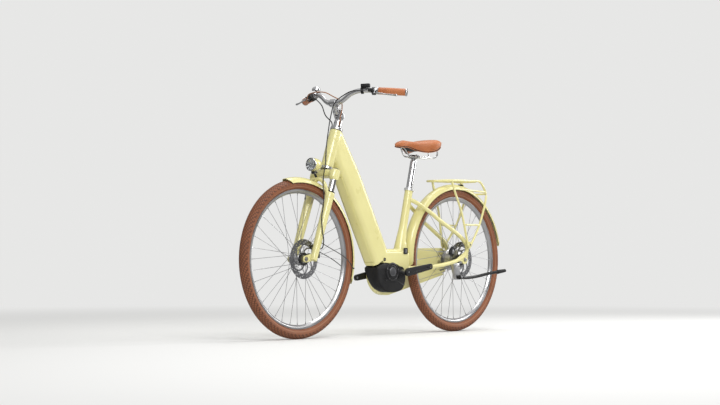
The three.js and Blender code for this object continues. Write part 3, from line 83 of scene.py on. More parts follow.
def on_seat_tube(rise, forward=0, left=0):
    return bottom_bracket - 17 * ahead + rise * seat_up + forward * seat_ahead + left * side


def on_leg(drop, left, forward=0, out=0):
    return on_steering(-drop, forward, left * (LEG_SPREAD + out))


def arc(centre, radius, angle, left=0):
    turn = math.radians(angle)
    return Vector((centre.x + radius * math.cos(turn), left, centre.z + radius * math.sin(turn)))


print("head top at", [round(value) for value in head_top])

# %% [markdown]
# ## The camera
# The photograph was taken low, from ahead and to the left of the bike, with a long lens. The two
# wheels and the ground fix the place of the camera, so it is set first.

# %% Camera
CAMERA_PLACE = (5.754, 4.928, 0.338)
CAMERA_TURN, CAMERA_LIFT = math.radians(-138.66), math.radians(2.24)


def set_up(thing, place, sight):
    """Puts a camera or a lamp in the scene, looking along sight."""
    bpy.context.scene.collection.objects.link(thing)
    thing.location = place
    thing.rotation_mode = "QUATERNION"
    thing.rotation_quaternion = sight.to_track_quat("-Z", "Y")


camera_data = bpy.data.cameras.new("camera")
camera_data.sensor_width, camera_data.lens = 36, 78.9
camera = bpy.data.objects.new("camera", camera_data)
sight = Vector((math.cos(CAMERA_TURN) * math.cos(CAMERA_LIFT), math.sin(CAMERA_TURN) * math.cos(CAMERA_LIFT),
                math.sin(CAMERA_LIFT)))
set_up(camera, CAMERA_PLACE, sight)
bpy.context.scene.camera = camera
print("camera looks along", [round(value, 3) for value in sight])

# %% [markdown]
# ## Shader helpers
# A node's input is either a plain value or another node's output. `feed` takes both, so a shader
# reads like a sum: each helper returns the output that the next one takes.

# %% Nodes, sums, mixes and ranges
def feed(tree, socket, value):
    """Links a socket to another node's output, or sets it, with three numbers as a colour."""
    if isinstance(value, bpy.types.NodeSocket):
        tree.links.new(value, socket)
    else:
        socket.default_value = (*value, 1) if isinstance(value, tuple) else value


def node(tree, kind, settings=(), **values):
    """Adds a node. Its inputs are given by name, or by number as i0, i1 and so on."""
    made = tree.nodes.new(kind)
    for key, value in dict(settings).items():
        setattr(made, key, value)
    for key, value in values.items():
        feed(tree, made.inputs[int(key[1:]) if key[1:].isdigit() else key.replace("_", " ")], value)
    return made


def maths(tree, kind, *terms, clamp=False):
    made = node(tree, "ShaderNodeMath", [("operation", kind), ("use_clamp", clamp)])
    for socket, term in zip(made.inputs, terms):
        feed(tree, socket, term)
    return made.outputs[0]


def mixed(tree, mask, first, second):
    return node(tree, "ShaderNodeMix", [("data_type", "RGBA")], i0=mask, i6=first, i7=second).outputs[2]


def ranged(tree, value, from_low, from_high, to_low=0.0, to_high=1.0, curve="LINEAR"):
    made = node(tree, "ShaderNodeMapRange", [("clamp", True), ("interpolation_type", curve)], Value=value,
                From_Min=from_low, From_Max=from_high, To_Min=to_low, To_Max=to_high)
    return made.outputs["Result"]


def object_place(tree):
    return node(tree, "ShaderNodeTexCoord").outputs["Object"]


def textured(tree, kind, output, settings=(), **values):
    """One output of a texture that keeps its place on the piece."""
    return node(tree, kind, settings, Vector=object_place(tree), **values).outputs[output]


def shader_tree(holder):
    holder.use_nodes = True
    return holder.node_tree


def as_object(bm, name="scratch"):
    """Turns a bmesh into an object of the scene."""
    mesh = bpy.data.meshes.new(name)
    bm.to_mesh(mesh)
    bm.free()
    thing = bpy.data.objects.new(name, mesh)
    bpy.context.scene.collection.objects.link(thing)
    return thing


print("shader helpers ready")

# %% [markdown]
# ## Studio
# A pale floor that runs to the horizon, and three large soft lamps. Large lamps give long soft
# highlights on tubes, which is what makes round metal look round. The camera sees a pale sky, and
# a floor that fades into it far away. Mirrors see a sky that darkens towards the ground and a
# grey floor, so that polished parts have some contrast.

# %% Floor, backdrop and lamps
SKY_COLOUR, SKY_STRENGTH = (0.80, 0.80, 0.80 * 0.99), 0.7
SKY_LIGHT = (0.78, 0.78, 0.77)
PAPER_COLOUR, MIRRORED_PAPER = (0.80, 0.80, 0.79), (0.42, 0.42, 0.42)
FADE_START, FADE_END = 1.6, 6.0

sheet = bmesh.new()
bmesh.ops.create_circle(sheet, cap_ends=True, segments=96, radius=40)
floor = as_object(sheet, "studio_floor")
paper = bpy.data.materials.new("studio_paper")
tree = shader_tree(paper)
shader = tree.nodes["Principled BSDF"]
seen = node(tree, "ShaderNodeLightPath").outputs
feed(tree, shader.inputs["Base Color"], mixed(tree, seen["Is Glossy Ray"], PAPER_COLOUR, MIRRORED_PAPER))
feed(tree, shader.inputs["Roughness"], 0.9)
from_middle = node(tree, "ShaderNodeVectorMath", [("operation", "LENGTH")],
                   i0=object_place(tree)).outputs["Value"]
far = ranged(tree, from_middle, FADE_START, FADE_END, curve="SMOOTHSTEP")
fade = node(tree, "ShaderNodeMixShader", i0=maths(tree, "MULTIPLY", far, seen["Is Camera Ray"]),
            i1=shader.outputs[0], i2=node(tree, "ShaderNodeEmission", Color=SKY_COLOUR).outputs[0])
feed(tree, tree.nodes["Material Output"].inputs["Surface"], fade.outputs[0])
floor.data.materials.append(paper)

world = bpy.data.worlds.new("studio")
tree = shader_tree(world)
seen = node(tree, "ShaderNodeLightPath").outputs
direction = node(tree, "ShaderNodeTexCoord").outputs["Generated"]
height = node(tree, "ShaderNodeSeparateXYZ", i0=direction).outputs["Z"]
lit = mixed(tree, seen["Is Glossy Ray"], SKY_LIGHT, ranged(tree, height, -0.1, 0.8, 0.05, 0.85))
backdrop = tuple(tone / SKY_STRENGTH for tone in SKY_COLOUR)
feed(tree, tree.nodes["Background"].inputs["Color"], mixed(tree, seen["Is Camera Ray"], lit, backdrop))
feed(tree, tree.nodes["Background"].inputs["Strength"], SKY_STRENGTH)
bpy.context.scene.world = world
bpy.context.scene.view_settings.view_transform = "Standard"

for name, place, aim_height, size, power in (("key_lamp", (2.6, 3.6, 3.2), 0.5, (2.4, 1.6), 110),
                                             ("top_lamp", (-0.6, 0.4, 3.8), 0.5, (3.2, 1.4), 70),
                                             ("rim_lamp", (-3.4, 1.6, 2.0), 0.6, (1.0, 2.2), 60)):
    data = bpy.data.lights.new(name, "AREA")
    data.shape, data.energy = "RECTANGLE", power
    data.size, data.size_y = size
    set_up(bpy.data.objects.new(name, data), place, Vector((0, 0, aim_height)) - Vector(place))
print("studio ready")

# %% [markdown]
# ## Making pieces
# Most pieces are turned on an axle, swept along a route, cut from plate or lofted through
# sections. Each helper starts from a few vertices and lets a mesh operator do the rest, then
# `piece` scales it to metres, shades it and lets it ride on its CAD body.

# %% Helpers: turning, plates and lofts
def tidy(bm):
    bmesh.ops.remove_doubles(bm, verts=bm.verts[:], dist=0.01)
    bmesh.ops.recalc_face_normals(bm, faces=bm.faces[:])
    return bm


def turned(profile, centre=rear_axle, steps=96, closed=False, axis=side):
    """Spins a row of (radius, place along the axis) about an axis through centre."""
    bm = bmesh.new()
    out = axis.orthogonal().normalized()
    spots = [bm.verts.new(centre + radius * out + place * axis) for radius, place in profile]
    lines = [bm.edges.new(pair) for pair in zip(spots, spots[1:])]
    if closed:
        lines.append(bm.edges.new((spots[-1], spots[0])))
    bmesh.ops.spin(bm, geom=spots + lines, cent=centre, axis=axis, angle=2 * math.pi, steps=steps,
                   use_merge=True)
    return tidy(bm)


def rod(start, end, radius, end_radius=None, steps=24):
    """A round bar, tapered where the far radius differs."""
    run = end - start
    far = radius if end_radius is None else end_radius
    profile = [(0, 0), (radius, 0), (far, run.length), (0, run.length)]
    return turned(profile, start, steps, axis=run.normalized())


def cross_rod(middle, half, radius, steps=24):
    """A round bar across the bike."""
    return rod(middle - half * side, middle + half * side, radius, steps=steps)


def plate(loops, low, high, bevel=0, segments=3):
    """Cuts a plate with holes from outlines in the X-Z plane, between two places on Y."""
    bm = bmesh.new()
    for loop in loops:
        spots = [bm.verts.new((x, low, z)) for x, z in loop]
        for pair in zip(spots, spots[1:] + spots[:1]):
            bm.edges.new(pair)
    bmesh.ops.triangle_fill(bm, use_beauty=True, use_dissolve=False, edges=bm.edges[:])
    grown = bmesh.ops.extrude_face_region(bm, geom=bm.faces[:], use_keep_orig=True)
    moved = [item for item in grown["geom"] if isinstance(item, bmesh.types.BMVert)]
    bmesh.ops.translate(bm, verts=moved, vec=(0, high - low, 0))
    tidy(bm)
    if bevel:
        sharp = [edge for edge in bm.edges if len(edge.link_faces) == 2 and edge.calc_face_angle() > 1.2]
        bmesh.ops.bevel(bm, geom=sharp, offset=bevel, segments=segments, profile=0.5, affect="EDGES",
                        material=-1, clamp_overlap=True)
    return bm


def loft(rings):
    """Bridges a row of rings that have the same count of points, and closes both ends."""
    bm = bmesh.new()
    rows = []
    for ring in rings:
        spots = [bm.verts.new(spot) for spot in ring]
        rows.append([bm.edges.new(pair) for pair in zip(spots, spots[1:] + spots[:1])])
    for near, far in zip(rows, rows[1:]):
        bmesh.ops.bridge_loops(bm, edges=near + far)
    for row in (rows[0], rows[-1]):
        bmesh.ops.contextual_create(bm, geom=row)
    return tidy(bm)


def round_box(across, up, corner, each=6):
    """A rectangle with round corners, as (across, up) pairs."""
    radius = min(corner, across, up)
    ring = []
    for turn, sx, sy in ((0, 1, 1), (1, -1, 1), (2, -1, -1), (3, 1, -1)):
        for count in range(each + 1):
            angle = (turn + count / each) * math.pi / 2
            ring.append((sx * (across - radius) + radius * math.cos(angle),
                         sy * (up - radius) + radius * math.sin(angle)))
    return ring


def set_ring(ring, centre, across, up):
    return [centre + x * across + y * up for x, y in ring]


def soft_block(box, rows, spot, run, across, up):
    """A block with round corners along run, through rows of (place, inset)."""
    wide, tall, corner, each = box
    return loft([set_ring(round_box(wide - inset, tall - inset, corner, each), spot + place * run, across, up)
                 for place, inset in rows])


def circle(radius, count, centre=Vector()):
    """The outline of a disc in the X-Z plane."""
    return [(centre.x + radius * math.cos(2 * math.pi * i / count),
             centre.z + radius * math.sin(2 * math.pi * i / count)) for i in range(count)]


def belt(front, front_radius, rear, rear_radius, steps=24):
    """The outline round two discs, as a belt would lie."""
    run = Vector((front.x - rear.x, front.z - rear.z))
    lean = math.atan2(run.y, run.x)
    spread = math.acos((rear_radius - front_radius) / run.length)
    outline = []
    for disc, radius, start, sweep in ((front, front_radius, lean - spread, 2 * spread),
                                       (rear, rear_radius, lean + spread, 2 * (math.pi - spread))):
        for count in range(steps + 1):
            angle = start + sweep * count / steps
            outline.append((disc.x + radius * math.cos(angle), disc.z + radius * math.sin(angle)))
    return outline


def smooth_route(points, each=8):
    """A centripetal Catmull-Rom curve through points, as the CAD routes are."""
    spots = [Vector(p) for p in points]
    rows = []
    for slot in range(len(spots) - 1):
        b, c = spots[slot], spots[slot + 1]
        a = spots[slot - 1] if slot else 2 * b - c
        d = spots[slot + 2] if slot + 2 < len(spots) else 2 * c - b
        t0, t1, t2 = [max(1e-4, (q - p).length_squared ** 0.25) for p, q in ((a, b), (b, c), (c, d))]
        m1 = ((b - a) / t0 - (c - a) / (t0 + t1) + (c - b) / t1) * t1
        m2 = ((c - b) / t1 - (d - b) / (t1 + t2) + (d - c) / t2) * t1
        for count in range(each):
            t = count / each
            rows.append(b + m1 * t + (-3 * b + 3 * c - 2 * m1 - m2) * t * t
                        + (2 * b - 2 * c + m1 + m2) * t ** 3)
    rows.append(spots[-1])
    return rows


def flat(spots):
    return [(spot.x, spot.z) for spot in spots]


def rounded(outline, each):
    """A closed smooth curve through (x, z) pairs."""
    return smooth_route([Vector((x, 0, z)) for x, z in [*outline, outline[0]]], each)[:-1]


def mirrored(rows):
    """A row of (radius, place) pairs, and the same again on the other side."""
    return [*rows, *[(radius, -place) for radius, place in reversed(rows)]]


def swept(points, radius, sides=16, radii=None):
    """A tube along a polyline, from a curve with a round bevel."""
    data = bpy.data.curves.new("route", "CURVE")
    data.dimensions = "3D"
    data.twist_mode = "MINIMUM"
    data.bevel_depth = radius
    data.bevel_resolution = max(1, sides // 4 - 1)
    data.use_fill_caps = True
    spline = data.splines.new("POLY")
    spline.points.add(len(points) - 1)
    for slot, spot in enumerate(points):
        spline.points[slot].co = (*spot, 1)
        spline.points[slot].radius = radii[slot] if radii else 1
    holder = bpy.data.objects.new("route", data)
    mesh = bpy.data.meshes.new_from_object(holder)
    bm = bmesh.new()
    bm.from_mesh(mesh)
    bpy.data.objects.remove(holder)
    bpy.data.meshes.remove(mesh)
    return tidy(bm)


def gather(*parts):
    """Several meshes as one, with nothing cut."""
    whole = bmesh.new()
    for bm in parts:
        mesh = bpy.data.meshes.new("gathered")
        bm.to_mesh(mesh)
        bm.free()
        whole.from_mesh(mesh)
        bpy.data.meshes.remove(mesh)
    return whole


print("helpers ready")

# %% Helpers: cutting, welding and finishing a piece
def baked(thing, remove=()):
    """The mesh of an object with its modifiers applied, as a new bmesh."""
    bpy.context.view_layer.update()
    mesh = bpy.data.meshes.new_from_object(thing.evaluated_get(bpy.context.evaluated_depsgraph_get()))
    bm = bmesh.new()
    bm.from_mesh(mesh)
    bpy.data.meshes.remove(mesh)
    for item in (thing, *remove):
        bpy.data.objects.remove(item)
    return bm


def carved(bm, *tools):
    """Cuts tools out of a mesh with an exact boolean."""
    thing = as_object(bm)
    cutters = [as_object(tool, "cutter") for tool in tools]
    for cutter in cutters:
        step = thing.modifiers.new("cut", "BOOLEAN")
        step.operation, step.solver, step.object = "DIFFERENCE", "EXACT", cutter
    return baked(thing, cutters)


def melted(bm, voxel):
    """An object whose overlapping solids run into one skin."""
    thing = as_object(bm)
    melt = thing.modifiers.new("melt", "REMESH")
    melt.mode, melt.voxel_size = "VOXEL", voxel
    return thing


def welded(bm, voxel, rounds):
    """Melts overlapping solids into one skin and softens the joints, like a ground weld."""
    thing = melted(bm, voxel)
    soft = thing.modifiers.new("soften", "SMOOTH")
    soft.iterations, soft.factor = rounds, 0.5
    return baked(thing)


slot_of = {}


def piece(name, bm, finish, body, replaces=None, slot=None, smooth=38, bevel=0):
    """Scales a mesh to metres, shades it by angle, and lets it ride on its CAD body, if one is given."""
    mesh = bpy.data.meshes.new(name)
    bmesh.ops.translate(bm, verts=bm.verts[:], vec=(REAR_AXLE_X, 0, 0))
    bmesh.ops.scale(bm, verts=bm.verts[:], vec=(MM, MM, MM))
    for face in bm.faces:
        face.smooth = True
    bm.to_mesh(mesh)
    bm.free()
    mesh.set_sharp_from_angle(angle=math.radians(smooth))
    thing = bpy.data.objects.new(name, mesh)
    bpy.context.scene.collection.objects.link(thing)
    if bevel:
        edge = thing.modifiers.new("edge", "BEVEL")
        edge.width, edge.segments, edge.limit_method = bevel * MM, 2, "ANGLE"
        edge.angle_limit = math.radians(50)
    mesh.materials.append(finish)
    if body:
        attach(thing, body)
    if replaces:
        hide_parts(replaces)
    slot = slot or slot_of[finish.name]
    return thing


print("finishing helpers ready")

# %% [markdown]
# ## Finishes
# Real surfaces are never one flat value. `fine grain` gives every finish a height and a mottle
# from noise. `road dust` rises from the ground up, and `rubbed edge` finds the convex edges, where
# a surface is worn lighter.

# %% Shared effects as node groups
def group(name, inputs, outputs):
    tree = bpy.data.node_groups.new(name, "ShaderNodeTree")
    for label, value in inputs.items():
        socket = tree.interface.new_socket(label, in_out="INPUT", socket_type="NodeSocketFloat")
        socket.default_value = value
    for label in outputs:
        tree.interface.new_socket(label, in_out="OUTPUT", socket_type="NodeSocketFloat")
    return tree, node(tree, "NodeGroupInput").outputs, node(tree, "NodeGroupOutput").inputs


def noise(tree, scale, detail):
    return textured(tree, "ShaderNodeTexNoise", "Fac", Scale=scale, Detail=detail)


grain, given, made = group("fine grain", {"Scale": 900.0, "Mottle Scale": 9.0}, ["Height", "Mottle"])
feed(grain, made["Height"], noise(grain, given["Scale"], 3))
feed(grain, made["Mottle"], noise(grain, given["Mottle Scale"], 5))

dust, given, made = group("road dust", {"Amount": 0.3, "Top": 0.5}, ["Mask"])
height = node(dust, "ShaderNodeSeparateXYZ", i0=object_place(dust)).outputs["Z"]
near_ground = ranged(dust, height, 0.0, given["Top"], 1.0, 0.0)
patches = ranged(dust, noise(dust, 38.0, 6.0), 0.42, 0.72)
cover = maths(dust, "MULTIPLY", near_ground, patches)
feed(dust, made["Mask"], maths(dust, "MULTIPLY", cover, given["Amount"]))

rub, given, made = group("rubbed edge", {"Low": 0.53, "High": 0.62}, ["Mask"])
convex = ranged(rub, node(rub, "ShaderNodeNewGeometry").outputs["Pointiness"], given["Low"], given["High"])
feed(rub, made["Mask"], maths(rub, "MULTIPLY", convex, noise(rub, 160.0, 4.0)))
print("effects:", [tree.name for tree in bpy.data.node_groups])

# %% [markdown]
# `finish` builds a material from those groups. The mottle shifts the colour and the roughness a
# little, dust dulls what is near the ground, and the grain feeds a bump. A value that is the same
# all over, such as the clear coat, is set straight on the shader. Each finish also names the
# material slot of the CAD model that it stands for.

# %% The finish maker
DUST_COLOUR = (0.36, 0.32, 0.26)


def finish(name, slot, colour, shade, rough, metal=0.0, grain_scale=900.0, mottle_scale=9.0, bump=0.02,
           depth=0.0004, coat=0.0, dirt=0.0, dirt_top=0.5, wear=None, extra=None, **sockets):
    """A surface whose colour runs from shade to colour, with grain, dust and worn edges."""
    material = bpy.data.materials.new(name)
    slot_of[name] = slot
    tree = shader_tree(material)
    texture = node(tree, "ShaderNodeGroup", [("node_tree", grain)], Scale=grain_scale,
                   Mottle_Scale=mottle_scale)
    mottle, height = texture.outputs["Mottle"], texture.outputs["Height"]
    base = mixed(tree, ranged(tree, mottle, 0.35, 0.65), shade, colour)
    roughness = ranged(tree, mottle, 0.3, 0.7, *rough)
    if wear:
        edge = node(tree, "ShaderNodeGroup", [("node_tree", rub)])
        base = mixed(tree, edge.outputs["Mask"], base, wear)
    if dirt:
        cover = node(tree, "ShaderNodeGroup", [("node_tree", dust)], Amount=dirt,
                     Top=dirt_top).outputs["Mask"]
        base = mixed(tree, cover, base, DUST_COLOUR)
        roughness = maths(tree, "ADD", roughness, cover, clamp=True)
    if extra:
        base, height = extra(tree, base, height)
    ridge = node(tree, "ShaderNodeBump", Strength=bump, Distance=depth, Height=height)
    looks = dict(Normal=ridge.outputs["Normal"], Base_Color=base, Roughness=roughness, Metallic=metal,
                 Coat_Weight=coat, Coat_Roughness=0.06, **sockets)
    for key, value in looks.items():
        feed(tree, tree.nodes["Principled BSDF"].inputs[key.replace("_", " ")], value)
    return material


cream = finish("cream enamel", "cream_paint", (0.735, 0.685, 0.315), (0.70, 0.645, 0.285), (0.26, 0.34),
               bump=0.05, depth=0.0002, grain_scale=420.0, coat=0.55)
chrome = finish("polished chrome", "chrome", (0.70, 0.70, 0.71), (0.62, 0.62, 0.63), (0.13, 0.22), metal=1.0,
                bump=0.03)
alloy = finish("brushed alloy", "silver", (0.60, 0.60, 0.61), (0.50, 0.50, 0.51), (0.26, 0.38), metal=1.0,
               bump=0.08, dirt=0.12, dirt_top=0.6)
steel = finish("ground steel", "steel", (0.46, 0.46, 0.47), (0.34, 0.34, 0.35), (0.28, 0.42), metal=1.0,
               bump=0.1, dirt=0.1)
black_alloy = finish("black anodised alloy", "black_metal", (0.015, 0.015, 0.016), (0.010, 0.010, 0.011),
                     (0.30, 0.42), bump=0.08, wear=(0.10, 0.10, 0.105), dirt=0.04, Specular_IOR_Level=0.4)
black_shell = finish("black moulded plastic", "black_plastic", (0.011, 0.011, 0.012), (0.007, 0.007, 0.008),
                     (0.42, 0.58), bump=0.35, depth=0.0003, grain_scale=1500.0, dirt=0.03,
                     Specular_IOR_Level=0.3)
disc_steel = finish("ground disc steel", "steel", (0.27, 0.27, 0.28), (0.20, 0.20, 0.21), (0.3, 0.45),
                    metal=1.0, bump=0.12)
reflector = finish("bright silver", "silver", (0.88, 0.88, 0.89), (0.80, 0.80, 0.81), (0.26, 0.36), metal=0.8,
                   bump=0.03)
rubber = finish("black rubber", "black_plastic", (0.020, 0.020, 0.020), (0.012, 0.012, 0.012), (0.7, 0.85),
                bump=0.3)
tan_jacket = finish("tan cable jacket", "tan_cable", (0.30, 0.125, 0.045), (0.24, 0.095, 0.035), (0.35, 0.5),
                    bump=0.1)
black_jacket = finish("black hose jacket", "black_plastic", (0.018, 0.018, 0.019), (0.012, 0.012, 0.013),
                      (0.32, 0.45), bump=0.1)
spoke_steel = finish("drawn spoke wire", "silver", (0.42, 0.42, 0.43), (0.34, 0.34, 0.35), (0.38, 0.50),
                     metal=1.0, bump=0.02)
print("finishes:", len(bpy.data.materials))

# %% [markdown]
# ### Leather and tyre rubber
# Saddle and grip leather is tan, with a pebbled grain: a Voronoi pattern gives the pebbles, and
# painted shade darkens the creases between them. The tyre has a fine hatched tread, cut by two sets
# of slanting grooves that come from the angle round the axle and are darkened with painted shade,
# and a thin faint stripe on each side wall, which comes from the distance to the axle.

# %% Leather
def pebbled(tree, base, height):
    cells = textured(tree, "ShaderNodeTexVoronoi", "Distance", [("feature", "SMOOTH_F1")], Scale=520.0)
    crease = ranged(tree, cells, 0.25, 0.75)
    # painted shade: the creases between the pebbles are darkened towards dark brown
    painted_crease_shade = mixed(tree, ranged(tree, cells, 0.4, 0.9, 0.0, 0.35), base, (0.16, 0.055, 0.018))
    return painted_crease_shade, maths(tree, "MULTIPLY_ADD", crease, -0.7, height)


leather = finish("tan leather", "brown_leather", (0.49, 0.160, 0.050), (0.41, 0.122, 0.036), (0.42, 0.56),
                 mottle_scale=14.0, bump=0.35, depth=0.0005, wear=(0.52, 0.22, 0.10), extra=pebbled,
                 Sheen_Weight=0.08)


# %% Tyre rubber
def treaded(axle_x):
    """A look for the tyre whose axle is at axle_x, in metres."""
    def look(tree, base, height):
        def sums(kind, *terms):
            return maths(tree, kind, *terms)

        spot = node(tree, "ShaderNodeSeparateXYZ", i0=object_place(tree)).outputs
        x = sums("SUBTRACT", spot["X"], axle_x)
        z = sums("SUBTRACT", spot["Z"], WHEEL_RADIUS * MM)
        radius = sums("SQRT", sums("ADD", sums("MULTIPLY", x, x), sums("MULTIPLY", z, z)))
        turn = sums("ARCTAN2", z, x)
        out = sums("ABSOLUTE", spot["Y"])
        first = sums("SINE", sums("ADD", sums("MULTIPLY", turn, 180.0), sums("MULTIPLY", out, 520.0)))
        second = sums("SINE", sums("SUBTRACT", sums("MULTIPLY", turn, 90.0), sums("MULTIPLY", out, 620.0)))
        blocks = ranged(tree, sums("MINIMUM", first, second), -0.88, -0.62)
        on_tread = ranged(tree, radius, 0.337, 0.341)
        cut = sums("MULTIPLY", blocks, on_tread)
        ribs = sums("MULTIPLY", sums("SINE", sums("MULTIPLY", radius, 2600.0)),
                    sums("SUBTRACT", 1.0, on_tread))
        relief = sums("ADD", sums("MULTIPLY_ADD", cut, 1.5, sums("MULTIPLY", ribs, 0.12)),
                      sums("MULTIPLY", height, 0.15))
        stripe = sums("MULTIPLY", ranged(tree, radius, 0.3262, 0.3268),
                      ranged(tree, radius, 0.3288, 0.3294, 1.0, 0.0))
        # painted shade: the tread grooves are coloured darker, as if shadowed
        painted_groove_shade = sums("MULTIPLY", sums("SUBTRACT", 1.0, blocks), on_tread)
        tread = mixed(tree, painted_groove_shade, base, (0.085, 0.026, 0.010))
        return mixed(tree, stripe, tread, (0.33, 0.150, 0.080)), relief
    return look


tyre_finish = {end: finish(f"{end} tan tyre", "brown_tyre", (0.250, 0.083, 0.031), (0.210, 0.067, 0.024),
                           (0.58, 0.74), mottle_scale=22.0, bump=0.55, depth=0.0012, dirt=0.10, dirt_top=0.35,
                           extra=treaded((REAR_AXLE_X + along) * MM))
               for end, along in (("front", WHEELBASE), ("rear", 0))}
print("tyre finishes:", list(tyre_finish))

# %% [markdown]
# ## Wheels
# A 28 inch wheel: a double-wall rim, 36 crossed spokes with nipples, a tyre with a rounded
# shoulder, and a vented brake disc. Everything round is spun about the axle; the spokes are drawn
# one by one from flange to rim, in the crossing that the hub is laced with.

# %% Tyres and rims
SPOKES = 36
VALVE_ANGLE = 100
lacing = [(360 * count / SPOKES, 1 if count % 2 == 0 else -1, 1 if count % 4 < 2 else -1)
          for count in range(SPOKES)]


def wheel(end, axle, body):
    shoulder = [(317, -10.2), (320, -14.2), (326, -19.8), (333, -23.4), (340.5, -24.5), (348, -22.2),
                (354, -17.4), (358.6, -11), (361, -4)]
    outer = smooth_route([Vector((radius, place, 0)) for radius, place in mirrored(shoulder)], 4)
    section = [(311.6, -9.4), (314, -9.8), *[(spot.x, spot.y) for spot in outer], (314, 9.8), (311.6, 9.4)]
    tyre = turned(section, axle, 144, closed=True)
    half = [(309.8, 7.4), (312.4, 9.3), (316.4, 9.9), (317.1, 11), (316.4, 12.4), (309, 12.5), (306.2, 11.4),
            (303.6, 8.2), (299.5, 4.6)]
    rim = turned([(309.5, 0), *half, (297.2, 0), *[(r, -y) for r, y in reversed(half)]], axle, 144,
                 closed=True)
    nipples = [rod(arc(axle, 298.4, angle, left * 1.2), arc(axle, 287, angle, left * 2.6), 2.2, 1.7, 6)
               for angle, left, trailing in lacing]
    valve = [arc(axle, radius, VALVE_ANGLE) for radius in (298, 284, 275)]
    piece(f"{end}_tyre_skin", tyre, tyre_finish[end], body, f"{end}_tyre")
    piece(f"{end}_rim_hoop", gather(rim, *nipples), alloy, body, f"{end}_rim")
    piece(f"{end}_valve", rod(valve[0], valve[1], 3, 2.6, 12), chrome, body)
    piece(f"{end}_valve_cap", rod(valve[1], valve[2], 3.6, 3.0, 12), rubber, body)


wheel("front", front_axle, "front_wheel")
wheel("rear", rear_axle, "rear_wheel")
print("tyres and rims made")

# %% Hubs and spokes
def hub(end, axle, body, profile, flange_radius, spread, crossing):
    bosses, wires = [], []
    for angle, left, trailing in lacing:
        lean = angle + trailing * crossing
        boss = arc(axle, flange_radius - 2.5, lean)
        bosses.append(rod(boss + left * (spread / 2 - 2.6) * side, boss + left * (spread / 2 + 2.6) * side,
                          1.9, steps=8))
        foot = arc(axle, flange_radius - 2.5, lean, left * spread / 2 + trailing * 1.8)
        wires.append(rod(foot, arc(axle, 288, angle, left * 2.5), 1.05, 1.0, 6))
        elbow = foot + (foot - Vector((axle.x, foot.y, axle.z))).normalized() * 0.5
        wires.append(rod(elbow - trailing * 2.6 * side * left, elbow + 0.4 * side, 1.7, 1.4, 8))
    piece(f"{end}_hub_shell", gather(turned(profile, axle, 64), *bosses), alloy, body, f"{end}_hub")
    piece(f"{end}_spokes", gather(*wires), spoke_steel, body)


hub("front", front_axle, "front_wheel",
    [(5.4, -42), (11, -42), (11.6, -40), (12.5, -36), (18, -31), (19, -29), (28, -29), (29, -28), (29, -26),
     (28, -25), (19, -24), (17, -20), (16, 0), (17, 20), (19, 24), (28, 25), (29, 26), (29, 28), (28, 29),
     (19, 29.4), (19, 39.8), (5.4, 39.8)], 29, 54, 55)
hub("rear", rear_axle, "rear_wheel",
    [(5.4, -47), (22, -47), (26, -45), (26, -38), (40, -35), (44, -32), (51, -32), (52, -31), (52, -29),
     (51, -28), (45, -27), (43, -22), (42.4, 0), (43, 22), (45, 27), (51, 28), (52, 29), (52, 31), (51, 32),
     (30, 33), (24, 36), (19, 37), (19, 47.8), (5.4, 47.8)], 52, 60, 40)
print("hubs laced")

# %% [markdown]
# ### Brake discs
# A vented disc is cut from sheet steel: the braking band has rows of holes, and curved arms
# join it to the carrier. Filling an outline with its holes in one step gives the sheet, and an
# extrusion its thickness.

# %% Brake discs
DISC_RADIUS, DISC_INNER, DISC_HALF = 90, 66, 0.9
DISC_HOLES, DISC_ARMS, ARM_STEPS = 48, 8, 8


def brake_disc(end, axle, place, body):
    low, high = place - DISC_HALF, place + DISC_HALF
    holes = [circle(2.9, 8, arc(axle, (71.5, 78.5, 85)[count % 3], 360 * count / DISC_HOLES))
             for count in range(DISC_HOLES)]
    parts = [plate([circle(DISC_RADIUS, 96, axle), circle(DISC_INNER, 96, axle), *holes], low, high)]
    for count in range(DISC_ARMS):
        middle = [arc(axle, 26 + 42 * step / ARM_STEPS,
                      360 * count / DISC_ARMS + 46 * (step / ARM_STEPS) ** 1.5)
                  for step in range(ARM_STEPS + 1)]
        outs = [3.4 * (far - near).cross(side).normalized()
                for near, far in zip(middle, middle[1:] + [2 * middle[-1] - middle[-2]])]
        outline = [spot + out for spot, out in zip(middle, outs)]
        outline += [spot - out for spot, out in reversed(list(zip(middle, outs)))]
        parts.append(plate([flat(outline)], low, high, 0.3, 1))
    piece(f"{end}_disc_band", gather(*parts), disc_steel, body, f"{end}_brake_disc")
    carrier = plate([circle(30, 48, axle), circle(19.4, 48, axle)], low - 0.8, high + 0.8, 0.4, 2)
    bolts = [rod(arc(axle, 24.6, angle, place + 1.6), arc(axle, 24.6, angle, place + 3.6), 3.2, 2.8, 12)
             for angle in range(0, 360, 60)]
    piece(f"{end}_disc_carrier", gather(carrier, *bolts), black_alloy, body)


brake_disc("front", front_axle, 38, "front_wheel")
brake_disc("rear", rear_axle, 46, "rear_wheel")
print("discs cut")

# %% [markdown]
# ## Frame
# The frame is hydroformed alloy: tubes with soft corners that run into each other without a
# visible weld. Melting rough solids into one skin by voxels and then smoothing it gives exactly
# that, which separate tubes would not. The slots for battery and motor are cut afterwards, so
# that their edges stay crisp.

# %% Down tube, head tube, seat tube and step
DOWN_LENGTH, DOWN_DEPTH, DOWN_WIDTH = 654, 118, 88
SEAT_LENGTH, SEAT_RADIUS = 422, 20
STEP_LENGTH, STEP_HEIGHT = 200, 111
MOTOR_LENGTH, MOTOR_HEIGHT = 215, 140
BATTERY_DEPTH, BATTERY_WIDTH = 66, 58


def on_bracket(along, up, left=0):
    """A place that is so many millimetres ahead of and above the bottom bracket."""
    return Vector((bottom_bracket.x + along, left, bottom_bracket.z + up))


def down_rear(run):
    return head_top - HEAD_RADIUS * 0.93 * ahead - run * tube_up


